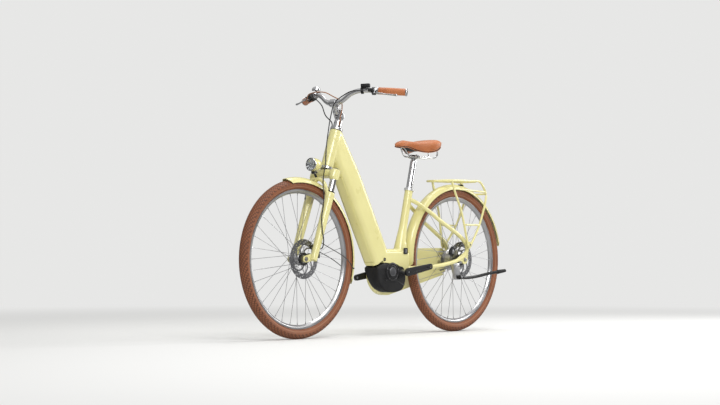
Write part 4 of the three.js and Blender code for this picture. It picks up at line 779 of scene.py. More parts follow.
def interpolated(table, count):
    """Rows of a table of shares, eased between its entries."""
    route = smooth_route([Vector([1000 * share for share in row]) for row in table], 24)
    first, last = table[0][0], table[-1][0]
    rows, slot = [], 0
    for step in range(count + 1):
        run = (first + (last - first) * step / count) * 1000
        while slot + 2 < len(route) and route[slot + 1].x < run:
            slot += 1
        a, b = route[slot], route[slot + 1]
        spot = a.lerp(b, 0 if b.x == a.x else min(1, max(0, (run - a.x) / (b.x - a.x))))
        rows.append((run / 1000, spot.y / 1000, spot.z / 1000))
    return rows


def down_tube():
    rings = []
    for run, depth, width in interpolated([(0.008, 0.76, 0.6), (0.1, 0.9, 0.69), (0.2, 1, 0.84),
                                           (0.32, 1, 0.97), (0.42, 1, 1), (1, 1, 1)], 40):
        half = DOWN_DEPTH * depth / 2
        ring = round_box(half, DOWN_WIDTH * width / 2, 26, 5)
        rings.append(set_ring(ring, down_rear(run * DOWN_LENGTH) + half * tube_ahead, tube_ahead, side))
    return loft(rings)


def seat_tube(extra=0.0):
    rings = []
    for rise, depth, width in interpolated([(0.213, 1.5, 1.6), (0.308, 1.4, 1.4), (0.415, 1.25, 1.2),
                                            (0.569, 1, 1), (1, 1, 1)], 30):
        ring = [((SEAT_RADIUS * depth + extra) * x,
                 (SEAT_RADIUS * width + extra) * y) for x, y in circle(1, 32)]
        rings.append(set_ring(ring, on_seat_tube(rise * SEAT_LENGTH), seat_ahead, side))
    return loft(rings)


belly_shares = [(-0.35, 0.4), (-0.3, 0.1), (-0.1, -0.02), (0, -0.02), (0.3, 0.3), (0.62, 0.4), (0.62, 0.75)]
step_shares = [(0.62, 1.3), (0.56, 1.06), (0.5, 1), (-0.1, 1), (-0.155, 1.05), (-0.2, 1.3), (-0.36, 1.3),
               (-0.36, 0.9), *belly_shares]
low_step_shares = [(0.62, 1.16), (0.56, 0.98), (0.48, 0.9), (-0.08, 0.9), (-0.15, 0.9), (-0.2, 0.88),
                   (-0.34, 0.84), (-0.36, 0.7), *belly_shares]


def step_plate(shares, half, bevel):
    return plate([flat(on_bracket(x * STEP_LENGTH, z * STEP_HEIGHT) for x, z in shares)], -half, half,
                 bevel, 5)


def motor_outline(extra):
    shares = [(0.786, 0.157), (0.749, -0.271), (0.6, -0.557), (0.414, -0.679), (0.135, -0.686),
              (-0.098, -0.586), (-0.2, -0.271), (-0.19, -0.057), (-0.074, 0.129), (0.135, 0.271),
              (0.507, 0.321), (0.7, 0.243)]
    middle = on_bracket(0.3 * MOTOR_LENGTH, -0.2 * MOTOR_HEIGHT)
    spots = [on_bracket(x * MOTOR_LENGTH, z * MOTOR_HEIGHT) for x, z in shares]
    return flat(spot + (spot - middle).normalized() * extra for spot in spots)


def battery_block(extra):
    face, deep = DOWN_DEPTH + (6 if extra > 0 else -0.3), DOWN_DEPTH - BATTERY_DEPTH
    ring = round_box((face - deep + extra) / 2, BATTERY_WIDTH / 2 + extra, 9, 4)
    return loft([set_ring(ring, down_rear(run) + (face + deep - extra) / 2 * tube_ahead, tube_ahead, side)
                 for run in (0.28 * DOWN_LENGTH - extra, 0.97 * DOWN_LENGTH + extra)])


frame_skin = welded(gather(rod(on_steering(-HEAD_LENGTH), on_steering(0), HEAD_RADIUS, steps=48), down_tube(),
                           seat_tube(), step_plate(step_shares, 27, 10), step_plate(low_step_shares, 45, 12)),
                    2.6, 16)
cover_centre = on_bracket(60, 2)
frame_skin = carved(frame_skin, plate([motor_outline(0.6)], -60, 60),
                    rod(cover_centre, cover_centre + 60 * side, 44.6, steps=48),
                    rod(on_steering(-200), on_steering(20), 15.2),
                    rod(on_seat_tube(150), on_seat_tube(440), 16.3),
                    rod(on_steering(0), on_steering(60), 80), battery_block(0.7))
piece("frame_skin", frame_skin, cream, "frame", "frame", smooth=50)

# %% Battery cover and lock
piece("battery_cover", battery_block(0), cream, "frame", "battery", bevel=2.2)
lock_spot = Vector((590, 44.2, 361))
lock_ring = turned([(0, 0), (6.5, 0), (8, 0.6), (8, 2), (6.6, 2.6), (6.4, 1.4), (0, 1.4)], lock_spot, 32)
piece("battery_lock", lock_ring, black_shell, "frame")
piece("battery_lock_core", turned([(0, 1.4), (3.6, 1.4), (3.6, 2.0), (0, 2.0)], lock_spot, 24), alloy,
      "frame")
print("battery in place")

# %% [markdown]
# ### Rear stays
# Each side is one long bent tube: down from the seat tube, round in a loop above the dropout, and
# forward again as the chain stay. A smooth curve through the bends is swept with a round section,
# and the dropout plate is welded on where the axle is clamped.

# %% Stays and dropouts
STAY_SPREAD, STAY_RADIUS = 65, 10.5
LOOP_SIZE, DROPOUT_SIZE = 131, 78


def between(start, end, left):
    return lambda along, up, out: Vector((start.x + along * (end.x - start.x), left * out * STAY_SPREAD,
                                          start.z + up * (end.z - start.z)))


def loop_route(left):
    shares = [(0.435, 1), (0.082, 0.794), (-0.153, 0.573), (-0.198, 0.374), (-0.046, 0.168), (0.29, 0.015),
              (0.58, -0.076)]
    return [rear_axle + x * LOOP_SIZE * ahead + z * LOOP_SIZE * upright + left * STAY_SPREAD * side
            for x, z in shares]


def chain_stay_route(left):
    start, loop = on_bracket(-62, 18), loop_route(left)
    place = between(start, loop[-1], left)
    return [*loop[-2:], *[place(*row) for row in [(0.646, 0.39, 0.877), (0.315, 0.12, 0.692), (0, 0, 0.523)]]]


for name, left in (("stay_left", 1), ("stay_right", -1)):
    loop = loop_route(left)
    place = between(on_seat_tube(366), loop[0], left)
    upper = [place(*row) for row in [(0, 0, 0.215), (0.11, 0.098, 0.46), (0.364, 0.344, 0.69),
                                     (0.584, 0.595, 0.83)]]
    route = smooth_route([*upper, *loop, *chain_stay_route(left)[2:]], 8)
    shares = [(-0.41, 0.795), (-0.256, -0.154), (-0.103, -0.282), (0.128, -0.282), (0.359, -0.103),
              (1, -0.18), (0.77, 0.077), (0.205, 0.385)]
    corner = rounded([(x * DROPOUT_SIZE, WHEEL_RADIUS + z * DROPOUT_SIZE) for x, z in shares], 4)
    low = 67 if left > 0 else -73
    skin = welded(gather(swept(route, STAY_RADIUS, 20), plate([flat(corner)], low, low + 6, 0.8, 2)), 1.7, 4)
    piece(f"{name}_tube", carved(skin, cross_rod(rear_axle, 90, 5.6), seat_tube(-1.5)), cream, "frame", name,
          smooth=60)
print("stays swept")

# %% [markdown]
# ## Motor
# The drive unit is a cast housing with a soft outline, a round cover with a rim and screws on the
# left, and bosses where the spindle comes out. Its outline is smoothed first and then lofted
# through narrower copies, so that both edges are rounded and the lower far edge tapers.

# %% Motor housing and cover
motor_curve = rounded(motor_outline(-0.4), 5)
motor_middle = on_bracket(64, -28)


def motor_ring(place, inset, lean):
    """The outline at one place across, drawn in by inset all round and by lean towards the bottom."""
    ring = []
    for spot in motor_curve:
        low = min(1.0, max(0.0, (bottom_bracket.z + 8 - spot.z) / 50))
        ring.append(spot - (inset + lean * low) * (spot - motor_middle).normalized() + place * side)
    return ring


housing = loft([motor_ring(*row) for row in ((-42, 5, 27), (-41, 2, 23), (-36, 0, 15), (-28, 0, 8),
                                             (-18, 0, 3), (-8, 0, 0), (34, 0, 0), (37.1, 0.6, 0),
                                             (39.7, 2.3, 0), (41.4, 4.9, 0), (42, 8, 0))])
boss = cross_rod(bottom_bracket, 47, 27, 48)
seam = plate([flat(rounded(motor_outline(6), 5))], 11, 12.2)
core = plate([flat(rounded(motor_outline(-1.6), 5))], 10, 13)
fins = []
for count in range(7):
    rise = 14 - 11 * count
    reach = 146 - 0.9 * abs(count - 1) ** 2.2
    fins.append(plate([belt(on_bracket(reach, rise + 1), 2.2, on_bracket(112, rise), 2.2, 6)], 39.6, 46))
piece("motor_housing", gather(carved(housing, seam, *fins), core, boss), black_shell, "frame", "motor")
cover = turned([(0, 42), (38, 42), (44, 42), (44, 44.5), (42, 46.5), (38.5, 47.6), (37, 46.8), (36, 44.6),
                (31, 44.6), (30, 47.6), (28, 48.2), (24, 48.2), (23, 46), (0, 46)], cover_centre, 64)
piece("motor_cover", cover, black_alloy, "frame", bevel=0.3)
cap = turned([(0, 45), (22, 45), (22, 47.8), (21, 48.8), (19.4, 48.9), (18.8, 48.3), (0, 48.4)],
             cover_centre, 64)
piece("motor_cover_cap", cap, disc_steel, "frame")
screws = [turned([(0, 0.4), (1.4, 0.4), (1.6, 1.5), (2.6, 1.5), (3, 0.8), (3, -1)],
                 arc(cover_centre, 40.5, angle, 46.4), 6) for angle in range(20, 360, 72)]
piece("motor_screws", gather(*screws), steel, "frame")
ridge_route = smooth_route([on_bracket(*spot, 41.6) for spot in (
    (106, -40), (92, -37.5), (70, -36), (40, -38), (12, -46), (-14, -58), (-32, -62))], 6)
piece("motor_ridge", swept(ridge_route, 1.8, 12), black_alloy, "frame")
print("motor made")

# %% [markdown]
# ## Cranks and drive
# Forged cranks taper from a round boss to the pedal eye, with a shallow channel along the outer
# face. The chain runs inside a closed case, so the chainring and the sprocket only need true
# teeth, and the chain its links.

# %% Cranks and spindle
CRANK_LENGTH, CRANK_INNER, CRANK_OUTER = 170, 85, 97


def crank(name, left, degrees):
    eye = arc(bottom_bracket, CRANK_LENGTH, degrees)
    face = CRANK_OUTER * left
    low, high = sorted((face, CRANK_INNER * left))
    arm = plate([belt(bottom_bracket, 19, eye, 14, 20)], low, high, 3, 4)
    along = (eye - bottom_bracket).normalized()
    channel = plate([belt(bottom_bracket + 34 * along, 5.5, eye - 26 * along, 4.2, 10)], face - 2.2,
                    face + 2.2)
    piece(f"{name}_arm", carved(arm, channel, cross_rod(eye, 110, 7)), black_alloy, "cranks", name, bevel=0.5)
    insert = turned([(7, low + 0.4), (7, high - 0.4), (5.9, high - 0.6), (5.9, low + 0.6)], eye, 32,
                    closed=True)
    piece(f"{name}_pedal_thread", insert, steel, "cranks")
    cap = turned([(radius, face + out * left) for radius, out in (
        (0, 0.2), (4, 0.2), (4.2, -2.5), (7.5, -2.5), (8.2, -0.4), (11, -0.2), (11, -3))], bottom_bracket, 40)
    piece(f"{name}_bolt", cap, steel, "cranks")


crank("crank_left", 1, 171)
crank("crank_right", -1, 351)
spindle = turned([(0, -94.5), (12, -94.5), (12, 94.5), (0, 94.5)], bottom_bracket, 48)
piece("spindle_bar", spindle, steel, "cranks", "spindle", bevel=0.4)
print("cranks made")


# %% Chainring, sprocket and chain
def toothed(centre, radius, teeth, holes):
    outline = []
    for count in range(teeth):
        for share, rise in ((0.22, -3.4), (0.36, -1.2), (0.46, 0.3), (0.54, 0.3), (0.64, -1.2), (0.78, -3.4)):
            angle = 2 * math.pi * (count + share) / teeth
            outline.append((centre.x + (radius + rise) * math.cos(angle),
                            centre.z + (radius + rise) * math.sin(angle)))
    return plate([outline, *holes], CHAIN_LINE - 1.1, CHAIN_LINE + 1.1)


windows = [circle(15, 20, arc(bottom_bracket, 46, angle)) for angle in range(0, 360, 90)]
ring = toothed(bottom_bracket, 76.9, 38, [*windows, circle(12.5, 32, bottom_bracket)])
piece("chainring_plate", ring, black_alloy, "cranks", "chainring")
windows = [circle(7, 16, arc(rear_axle, 22, math.degrees(angle))) for angle in (0.5, 2.07, 3.64, 5.21)]
piece("sprocket_plate", toothed(rear_axle, 40.6, 20, [circle(5.6, 24, rear_axle), *windows]), steel,
      "sprocket", "sprocket")
line = [Vector((x, 0, z)) for x, z in belt(bottom_bracket, 79.2, rear_axle, 43, 60)]
line.append(line[0])
total = sum((far - near).length for near, far in zip(line, line[1:]))
links = 2 * round(total / 25.4)
pitch = total / links
marks, run = [line[0]], 0.0
for near, far in zip(line, line[1:]):
    span = (far - near).length
    while run + span >= pitch * len(marks) and len(marks) < links:
        marks.append(near.lerp(far, (pitch * len(marks) - run) / span))
    run += span
parts = []
for slot, (near, far) in enumerate(zip(marks, marks[1:] + marks[:1])):
    wide = 2.9 if slot % 2 else 2.1
    for low in (CHAIN_LINE - wide, CHAIN_LINE + wide - 0.8):
        parts.append(plate([belt(far, 3.1, near, 3.1, 3)], low, low + 0.8))
    parts.append(rod(near + (CHAIN_LINE - 3.1) * side, near + (CHAIN_LINE + 3.1) * side, 1.8, steps=8))
piece("chain_links", gather(*parts), steel, "frame", "chain")
print("chain of", links, "links")

# %% [markdown]
# ### Chain case
# A thin pressed shell that hides the chain, rounded at its outer rim. It is cut as a thick plate,
# hollowed, and opened on the inner side for the hub and the chain stay.

# %% Chain case
CASE_OUTER, CASE_INNER, CASE_WALL = -81, -45, 1.6
CASE_FRONT_RADIUS, CASE_REAR_RADIUS = 112, 66
case_rear = rear_axle + 14 * ahead - 6 * upright
shell = plate([belt(bottom_bracket, CASE_FRONT_RADIUS, case_rear, CASE_REAR_RADIUS, 40)], CASE_OUTER,
              CASE_INNER, 3.2, 4)
hollow = plate([belt(bottom_bracket, CASE_FRONT_RADIUS - CASE_WALL, case_rear,
                     CASE_REAR_RADIUS - CASE_WALL, 40)], CASE_OUTER + CASE_WALL, CASE_INNER - CASE_WALL)
openings = [rod(centre - reach * side, centre, radius, steps=steps) for centre, reach, radius, steps in (
    (rear_axle, 79.4, 78, 48), (bottom_bracket, 79, 31, 40), (bottom_bracket, 99, 16, 32))]
shell = carved(shell, hollow, *openings, swept(smooth_route(chain_stay_route(-1), 8), 12.5, 16))
piece("chain_case_shell", shell, cream, "frame", "chain_case", smooth=40)
print("chain case made")

# %% [markdown]
# ## Fenders
# A fender is a strip of alloy with a domed section, rolled round part of a circle, with a small
# outward bead along each edge and rounded ends. The section is spun through the fender's angle and
# given its sheet thickness with Solidify.

# %% Fenders
DOME_DEPTH, DOME_HALF, BEAD_HALF = 26, 29, 30
END_ANGLE, END_HALF = 4.5, 12
SHEET = 1.6


def fender(name, axle, radius, start, stop, body, node):
    foot = radius - 27.2
    dome = [(foot + DOME_DEPTH * math.cos(lean), DOME_HALF * math.sin(lean))
            for lean in (count / 12 * math.radians(86) for count in range(-12, 13))]
    section = [(dome[0][0] - 0.6, -BEAD_HALF), *dome, (dome[-1][0] - 0.6, BEAD_HALF)]
    bm = bmesh.new()
    spots = [bm.verts.new(arc(axle, reach, start, place)) for reach, place in section]
    lines = [bm.edges.new(pair) for pair in zip(spots, spots[1:])]
    bmesh.ops.spin(bm, geom=lines, cent=axle, axis=-side, angle=math.radians(stop - start), steps=72)
    for vertex in bm.verts:
        round_off(vertex, axle, foot, start, stop)
    bmesh.ops.recalc_face_normals(bm, faces=bm.faces[:])
    probe = max(bm.faces, key=lambda face: (face.calc_center_median() - axle).length)
    if probe.normal.dot(probe.calc_center_median() - axle) < 0:
        bmesh.ops.reverse_faces(bm, faces=bm.faces[:])
    thing = piece(name, bm, cream, body, node, smooth=60)
    sheet = thing.modifiers.new("sheet", "SOLIDIFY")
    sheet.thickness, sheet.offset = SHEET * MM, -1


def round_off(vertex, axle, foot, start, stop):
    """Draws a point near either end of a fender in to a round outline, along the dome."""
    out = vertex.co - axle
    angle = math.degrees(math.atan2(out.z, out.x)) % 360
    if angle > 270:
        angle -= 360
    for inside in (angle - start, stop - angle):
        if inside < END_ANGLE:
            swell = math.sqrt(max(0.0, 1 - (1 - inside / END_ANGLE) ** 2))
            limit = END_HALF + (BEAD_HALF - END_HALF) * swell
            if abs(vertex.co.y) > limit:
                reach = foot + DOME_DEPTH * math.sqrt(max(0.0, 1 - (limit / DOME_HALF) ** 2))
                edge = Vector((axle.x, math.copysign(limit, vertex.co.y), axle.z))
                vertex.co = edge + reach * Vector((out.x, 0, out.z)).normalized()


fender("rear_fender_strip", rear_axle, 382, -6, 169, "frame", "rear_fender")
fender("front_fender_strip", front_axle, 373, 76.5, 198, "fork_slider", "front_fender")
wires = []
for left in SIDES:
    route = smooth_route([arc(front_axle, 347, 187, left * 28.6), arc(front_axle, 283, 180, left * 46),
                          on_leg(548, left, -22)], 8)
    stud = [arc(front_axle, 350, 187, left * out) for out in (27.5, 32.5)]
    wires += [swept(route, 2.0, 12), rod(*stud, 4.2, 3.6, 16),
              rod(on_leg(548, left, -25, -3), on_leg(548, left, -19, 3), 4, steps=16)]
piece("front_fender_wires", gather(*wires), black_alloy, "fork_slider")
fender_screws = []
for angle in (66.4, 150):
    spot = arc(rear_axle, 381, angle)
    out = (spot - rear_axle).normalized()
    fender_screws.append(rod(spot - 3 * out, spot + out, 5, 4.2, 20))
piece("rear_fender_screws", gather(*fender_screws), steel, "frame")
clip_foot = arc(rear_axle, 381.6, 99)
clip_out = (clip_foot - rear_axle).normalized()
clip = soft_block((9, 12, 3, 4), ((-0.5, 0), (4.5, 0), (5.6, 1.2)), clip_foot, clip_out,
                  clip_out.cross(side), side)
piece("rear_fender_clip", clip, black_shell, "frame")
print("fenders rolled")

# %% Axles and nuts
def axle_set(name, axle, face, body, node):
    bar = turned([(0, -face - 5.3), (4.2, -face - 5.3), (5, -face - 4.4), (5, face + 4.4), (4.2, face + 5.3),
                  (0, face + 5.3)], axle, 32)
    nuts = []
    for left in SIDES:
        nuts.append(plate([circle(9.6, 6, axle)], *sorted((left * face, left * (face + 5))), 0.9, 2))
        nuts.append(turned([(radius, left * (face + out)) for radius, out in (
            (0, -0.1), (10, -0.1), (10, 1.2), (0, 1.2))], axle, 32))
    piece(name, gather(bar, *nuts), steel, body, node)


axle_set("rear_axle_bar", rear_axle, 73.3, "frame", "rear_axle")
axle_set("front_axle_bar", front_axle, 52.3, "fork_slider", "front_axle")
print("axles made")

# %% [markdown]
# ## Rear rack
# Bent tube again: a loop with a turned-down rear end, cross bars on top for parcels, a spine, and
# on each side two legs, a strut and a lower rail for pannier hooks. All of it is welded and
# painted in one go, so each side is one skin.

# %% Rack
RACK_FRONT, RACK_LENGTH = 212, 400
RACK_TOP, RACK_DROP, RACK_HALF = 760, 332, 62
LEG_REACH = STAY_SPREAD + STAY_RADIUS + 8 + 0.3 - RACK_HALF
RACK_TUBE, RACK_BAR = 5.8, 4.8


def on_rack(along, y, down):
    return Vector((RACK_FRONT - along * RACK_LENGTH, y, RACK_TOP - down * RACK_DROP))


def rack_bar(start, end, radius=RACK_BAR, steps=16):
    return rod(on_rack(*start), on_rack(*end), radius, steps=steps)


def rack_leg(name, left):
    def reach(along, out, down):
        return on_rack(along, left * (RACK_HALF + out * LEG_REACH), down)

    tubes = [swept(smooth_route([reach(*row) for row in shares], 8), RACK_TUBE, 16)
             for shares in (((1, 0.18, 0.208), (0.985, 0.275, 0.277), (0.825, 0.6, 0.669), (0.605, 1, 1)),
                            ((0.3, 0, 0.018), (0.35, 0.18, 0.181), (0.46, 0.505, 0.482), (0.56, 1, 1)))]
    tubes += [rod(reach(*start), reach(*end), radius, steps=steps) for start, end, radius, steps in (
        ((0.535, 0.69, 0.672), (0.825, 0.6, 0.672), RACK_BAR, 16),
        ((0.35, 0.18, 0.1325), (0.965, 0.23, 0.157), RACK_BAR, 16),
        ((0.5825, 1, 0.93), (0.5825, 1, 1.03), 7.6, 20))]
    piece(f"{name}_tubes", welded(gather(*tubes), 1.4, 3), cream, "frame", name, smooth=60)
    bolt = rod(reach(0.5825, 1, 0.975), reach(0.5825, 1.5, 0.975), 4.4, 3.8, 16)
    piece(f"{name}_bolt", bolt, steel, "frame")


loop_shares = [(0.09, 0.42, 0.021), (0.17, 0.76, 0.016), (0.32, 1, 0.008), (0.7, 1, 0), (0.87, 1, 0),
               (0.935, 1.032, 0.06), (1, 1.065, 0.187)]
half = {left: [on_rack(along, left * out * RACK_HALF, down) for along, out, down in loop_shares]
        for left in SIDES}
nose = (0.07, 0, 0.021)
top = [swept(smooth_route([*reversed(half[1]), on_rack(*nose), *half[-1]], 8), RACK_TUBE, 16)]
for along in (0.32, 0.46, 0.6, 0.8):
    top.append(rack_bar((along, -RACK_HALF, 0.006), (along, RACK_HALF, 0.006)))
top.append(rack_bar(nose, (0.8, 0, 0.006)))
top.append(rack_bar((1, -66, 0.187), (1, 66, 0.187)))
post_foot = arc(rear_axle, 382.3, 66.4)
top.append(rod(post_foot, post_foot + 46 * (post_foot - rear_axle).normalized(), RACK_BAR, steps=16))
piece("rack_top_tubes", welded(gather(*top), 1.5, 3), cream, "frame", "rack_top", smooth=60)
rack_leg("rack_leg_left", 1)
rack_leg("rack_leg_right", -1)
print("rack welded")

# %% [markdown]
# ## Suspension fork
# A forged crown holds two chromed stanchions, which slide in painted lowers tied together by an
# arch over the wheel. Crown and lowers are melted into smooth castings; dust seals and adjuster
# caps are turned.

# %% Crown, stanchions and lowers
CROWN_DROP = 197 + 26
SLIDER_TOP, SLIDER_END = 313, 642
ARCH_DROP, ARCH_AHEAD, ARCH_RISE = 262, 48, 73


def leg_rods(start, end, radius, end_radius=None, steps=40):
    """One rod down each leg of the fork."""
    return [rod(on_leg(start, left), on_leg(end, left), radius, end_radius, steps) for left in SIDES]


rings = []
for out, deep, tall, lift in ((-1, 0.5, 24, 0), (-0.97, 0.66, 25, 0), (-0.9, 0.85, 25.5, 0),
                              (-0.72, 0.9, 24, 1), (-0.5, 0.74, 15, 8), (-0.25, 0.9, 17, 7),
                              (0.25, 0.9, 17, 7), (0.5, 0.74, 15, 8), (0.72, 0.9, 24, 1),
                              (0.9, 0.85, 25.5, 0), (0.97, 0.66, 25, 0), (1, 0.5, 24, 0)):
    ring = round_box(27 * deep, tall, 12, 5)
    rings.append(set_ring(ring, on_steering(lift - CROWN_DROP, 0, out * 78), steer_ahead, steer_up))
neck = rod(on_steering(-CROWN_DROP), on_steering(-198), 22, 20, 40)
crown = welded(gather(loft(rings), neck, *leg_rods(CROWN_DROP - 24, CROWN_DROP + 26, 19.5)), 1.8, 6)
piece("fork_crown_casting", crown, cream, "steering", "fork_crown", smooth=60)
piece("steerer", rod(on_steering(-199), on_steering(43), 14.2, steps=40), alloy, "steering")
piece("stanchions", gather(*leg_rods(CROWN_DROP + 20, 398, 15, steps=48)), chrome, "steering")
caps = [turned([(0, 0), (9, 0), (10.5, 1), (11, 3), (13, 3.4), (14, 4.4), (14, 7)],
               on_leg(CROWN_DROP - 31, left), 32, axis=-steer_up) for left in SIDES]
piece("fork_caps", gather(*caps), black_alloy, "steering")

arch_peak = on_steering(-ARCH_DROP, ARCH_AHEAD)
halves = {left: [on_steering(-ARCH_DROP - (1 - up) * ARCH_RISE, forward * ARCH_AHEAD, left * out * LEG_SPREAD)
                 for up, forward, out in ((0, 0.21, 1), (0.64, 0.71, 0.85),
                                          (0.93, 0.96, 0.52))] for left in SIDES}
arch = swept(smooth_route([*halves[1], arch_peak, *reversed(halves[-1])], 8), 9, 20)
parts = [arch, rod(arch_peak, front_axle + 373.4 * (arch_peak - front_axle).normalized(), 7)]
for left in SIDES:
    low = 43.2 if left > 0 else -52
    parts += [plate([belt(front_axle, 15, on_steering(-627), 17, 16)], low, low + 8.8, 1.2, 2),
              rod(on_leg(SLIDER_TOP, left), on_leg(SLIDER_END, left), 21.6, 17, 48),
              rod(on_leg(SLIDER_TOP, left), on_leg(SLIDER_TOP + 25, left), 22, 22, 48)]
lowers = carved(welded(gather(*parts), 1.9, 5), *leg_rods(SLIDER_TOP - 13, SLIDER_TOP + 17, 15.8),
                cross_rod(front_axle, 80, 5.5))
piece("fork_lowers_casting", lowers, cream, "fork_slider", "fork_lowers", smooth=60)
seals = [turned([(15.4, 0), (20.5, 0), (21, -1), (21, -4), (19.5, -5.5), (16.4, -7), (15.4, -7)],
                on_leg(SLIDER_TOP, left), 48, closed=True, axis=-steer_up) for left in SIDES]
piece("fork_seals", gather(*seals), rubber, "fork_slider")
print("fork made")


# %% Headset cups
def cup(name, low, high, radius, body, node):
    ring = turned([(15.5, low), (radius - 1, low), (radius, low + 0.8), (radius, high - 0.8),
                   (radius - 1, high), (15.5, high)], head_top, 64, closed=True, axis=steer_up)
    piece(name, ring, alloy, body, node)


cup("headset_lower_cup", -196, -184.3, 31, "frame", "headset_lower")
cup("headset_top_cover", 0.3, 12.3, 29, "steering", "headset_cover")
print("headset made")

# %% [markdown]
# ### Brake calipers
# Each caliper is a black forging that straddles the disc. A block is swept round the disc's edge
# and slotted, and a piston shows as a round cap on the outside.

# %% Calipers
def caliper(name, axle, place, start, stop, half_width, body, node, extra=()):
    rings = []
    for count in range(13):
        angle = math.radians(start + (stop - start) * count / 12)
        taper = abs(count - 6) / 6
        out = Vector((math.cos(angle), 0, math.sin(angle)))
        ring = round_box(18.5 * (1 - 0.16 * taper), half_width * (1 - 0.1 * taper), 5, 4)
        rings.append(set_ring(ring, Vector((axle.x, place, axle.z)) + 82.5 * out, out, side))
    slot_tool = rod(axle + (place - 1.6) * side, axle + (place + 1.6) * side, 92.5, steps=96)
    piece(name, carved(gather(loft(rings), *extra), slot_tool), black_alloy, body, node, bevel=0.6)
    cap_spot = arc(axle, 81, (start + stop) / 2, place + half_width - 0.4)
    piece(f"{name}_cap", turned([(0, 0.5), (9, 0.5), (10.5, 0), (11, -1)], cap_spot, 32), steel, body)


left_leg = rod(on_leg(SLIDER_TOP, 1), on_leg(SLIDER_END, 1), 22.2, 17.2, 40)
mount = carved(rod(on_steering(-590, -30, 44), on_leg(596, 1), 8, steps=24), left_leg)
caliper("front_caliper_body", front_axle, 38, 147, 177, 11.6, "fork_slider", "front_caliper", (mount,))
caliper("rear_caliper_body", rear_axle, 46, 15, 43, 7.8, "frame", "rear_caliper")
print("calipers made")

# %% [markdown]
# ## Headlight
# A small round lamp: a painted shell, a polished rim, a mirror bowl with a pale source in it,
# and a ribbed glass in front. It tilts on a knuckle that stands on the fork arch.

# %% Headlight
lamp = arch_peak + 11.4 * ahead + 66 * upright
pivot = lamp + 2 * ahead - 36 * upright


def lamp_turned(profile, steps=64, closed=False):
    return turned(profile, lamp, steps, closed, axis=ahead)


shell = lamp_turned([(0, -40.8), (6, -40.2), (12, -37.5), (20, -29), (26.5, -15), (29.4, -3), (30, 3.4),
                     (30, 22), (28.6, 22), (28.6, 3.4), (27, -6), (20, -20), (0, -30)])
piece("headlight_shell", shell, cream, "lamp", "headlight")
ears = [plate([belt(pivot, 7.6, lamp - 15 * upright, 7.6, 12)], low, low + 4, 0.8, 2) for low in (9.3, -13.3)]
piece("headlight_ears", gather(*ears), chrome, "lamp")
rim = lamp_turned([(27.2, 20), (30, 20), (30.6, 21), (30.6, 25.4), (29.8, 27.2), (28, 27.4), (27.2, 25.5)],
                  closed=True)
piece("headlight_rim", rim, chrome, "lamp")
bowl = [(27.4 * math.sin(math.radians(a)), 25 - 24 * math.cos(math.radians(a)) ** 1.4) for a in range(80, 0, -8)]
piece("headlight_mirror", lamp_turned([(27.4, 25), *bowl, (0, 1), (0, -1), (28.2, 20)]), reflector, "lamp",
      slot="chrome")
source = finish("pale lamp source", "clear_glass", (0.85, 0.84, 0.78), (0.80, 0.79, 0.73), (0.25, 0.35),
                bump=0.02)
piece("headlight_source", lamp_turned([(0, 13), (3.5, 12.5), (5, 10), (5, 2), (0, 2)], 32), source, "lamp")

glass = bpy.data.materials.new("lamp glass")
tree = shader_tree(glass)
flutes = textured(tree, "ShaderNodeTexWave", "Fac", [("bands_direction", "Y")], Scale=160.0)
ridge = node(tree, "ShaderNodeBump", Strength=0.35, Distance=0.0006, Height=flutes).outputs["Normal"]
for label, value in (("Base Color", (0.93, 0.95, 0.96)), ("Roughness", 0.04), ("Transmission Weight", 1.0),
                     ("IOR", 1.35), ("Normal", ridge)):
    feed(tree, tree.nodes["Principled BSDF"].inputs[label], value)
lens = lamp_turned([(0, 31), (10, 30.6), (20, 29), (26, 27), (27.2, 25.6), (26.6, 24.4), (18, 26.4),
                    (0, 28.4)])
piece("headlight_lens_glass", lens, glass, "lamp", "headlight_lens", "clear_glass")
bracket = gather(rod(arch_peak + 9 * upright, pivot, 5.5), cross_rod(pivot, 9, 6, 32),
                 cross_rod(pivot, 14.5, 2.8, 16), rod(pivot + 13.4 * side, pivot + 16.4 * side, 4.6, steps=6))
piece("headlight_bracket_arm", bracket, black_alloy, "fork_slider", "headlight_bracket", bevel=0.5)
print("headlight made")

# %% [markdown]
# ## Seat post and saddle
# The post is a polished tube in a clamp collar. Its head holds the two bent saddle rails between
# washers, on one cross bolt. The rails are a single wire that loops round under the nose.

# %% Clamp, post and rails
RAIL_LENGTH, RAIL_RISE, RAIL_HALF = 244, 57, 22

collar = turned([(19.4, 408), (23, 408), (24, 409.2), (24, 419.8), (23, 421), (16.2, 421.8), (16.2, 420.6),
                 (19.4, 420)], on_seat_tube(0), 64, closed=True, axis=seat_up)
ear_bolt = rod(on_seat_tube(414.5, -24, -10), on_seat_tube(414.5, -24, 10), 5, steps=32)
piece("seat_clamp_collar", gather(collar, ear_bolt), reflector, "frame", "seat_clamp", bevel=0.5)
post = turned([(0, 292), (15.8, 292), (15.8, 556), (15.2, 562), (12.5, 570), (11, 575), (0, 575)],
              on_seat_tube(0), 64, axis=seat_up)
rail_place = on_seat_tube(575) + 9 * upright
head_parts = [rod(rail_place - 24 * ahead, rail_place + 24 * ahead, 9.6, steps=40),
              cross_rod(rail_place, 29.5, 5.5, 32)]
for left in SIDES:
    for low, radius in ((14.5, 10.5), (25.7, 7.5)):
        head_parts.append(rod(rail_place + left * low * side, rail_place + left * (low + 3.6) * side, radius,
                              steps=32))
piece("seat_post_tube", gather(post, *head_parts), chrome, "seat", "seat_post", bevel=0.7)


def rail_spot(forward, up, out):
    return rail_place + forward * RAIL_LENGTH * ahead + up * RAIL_RISE * upright + out * RAIL_HALF * side


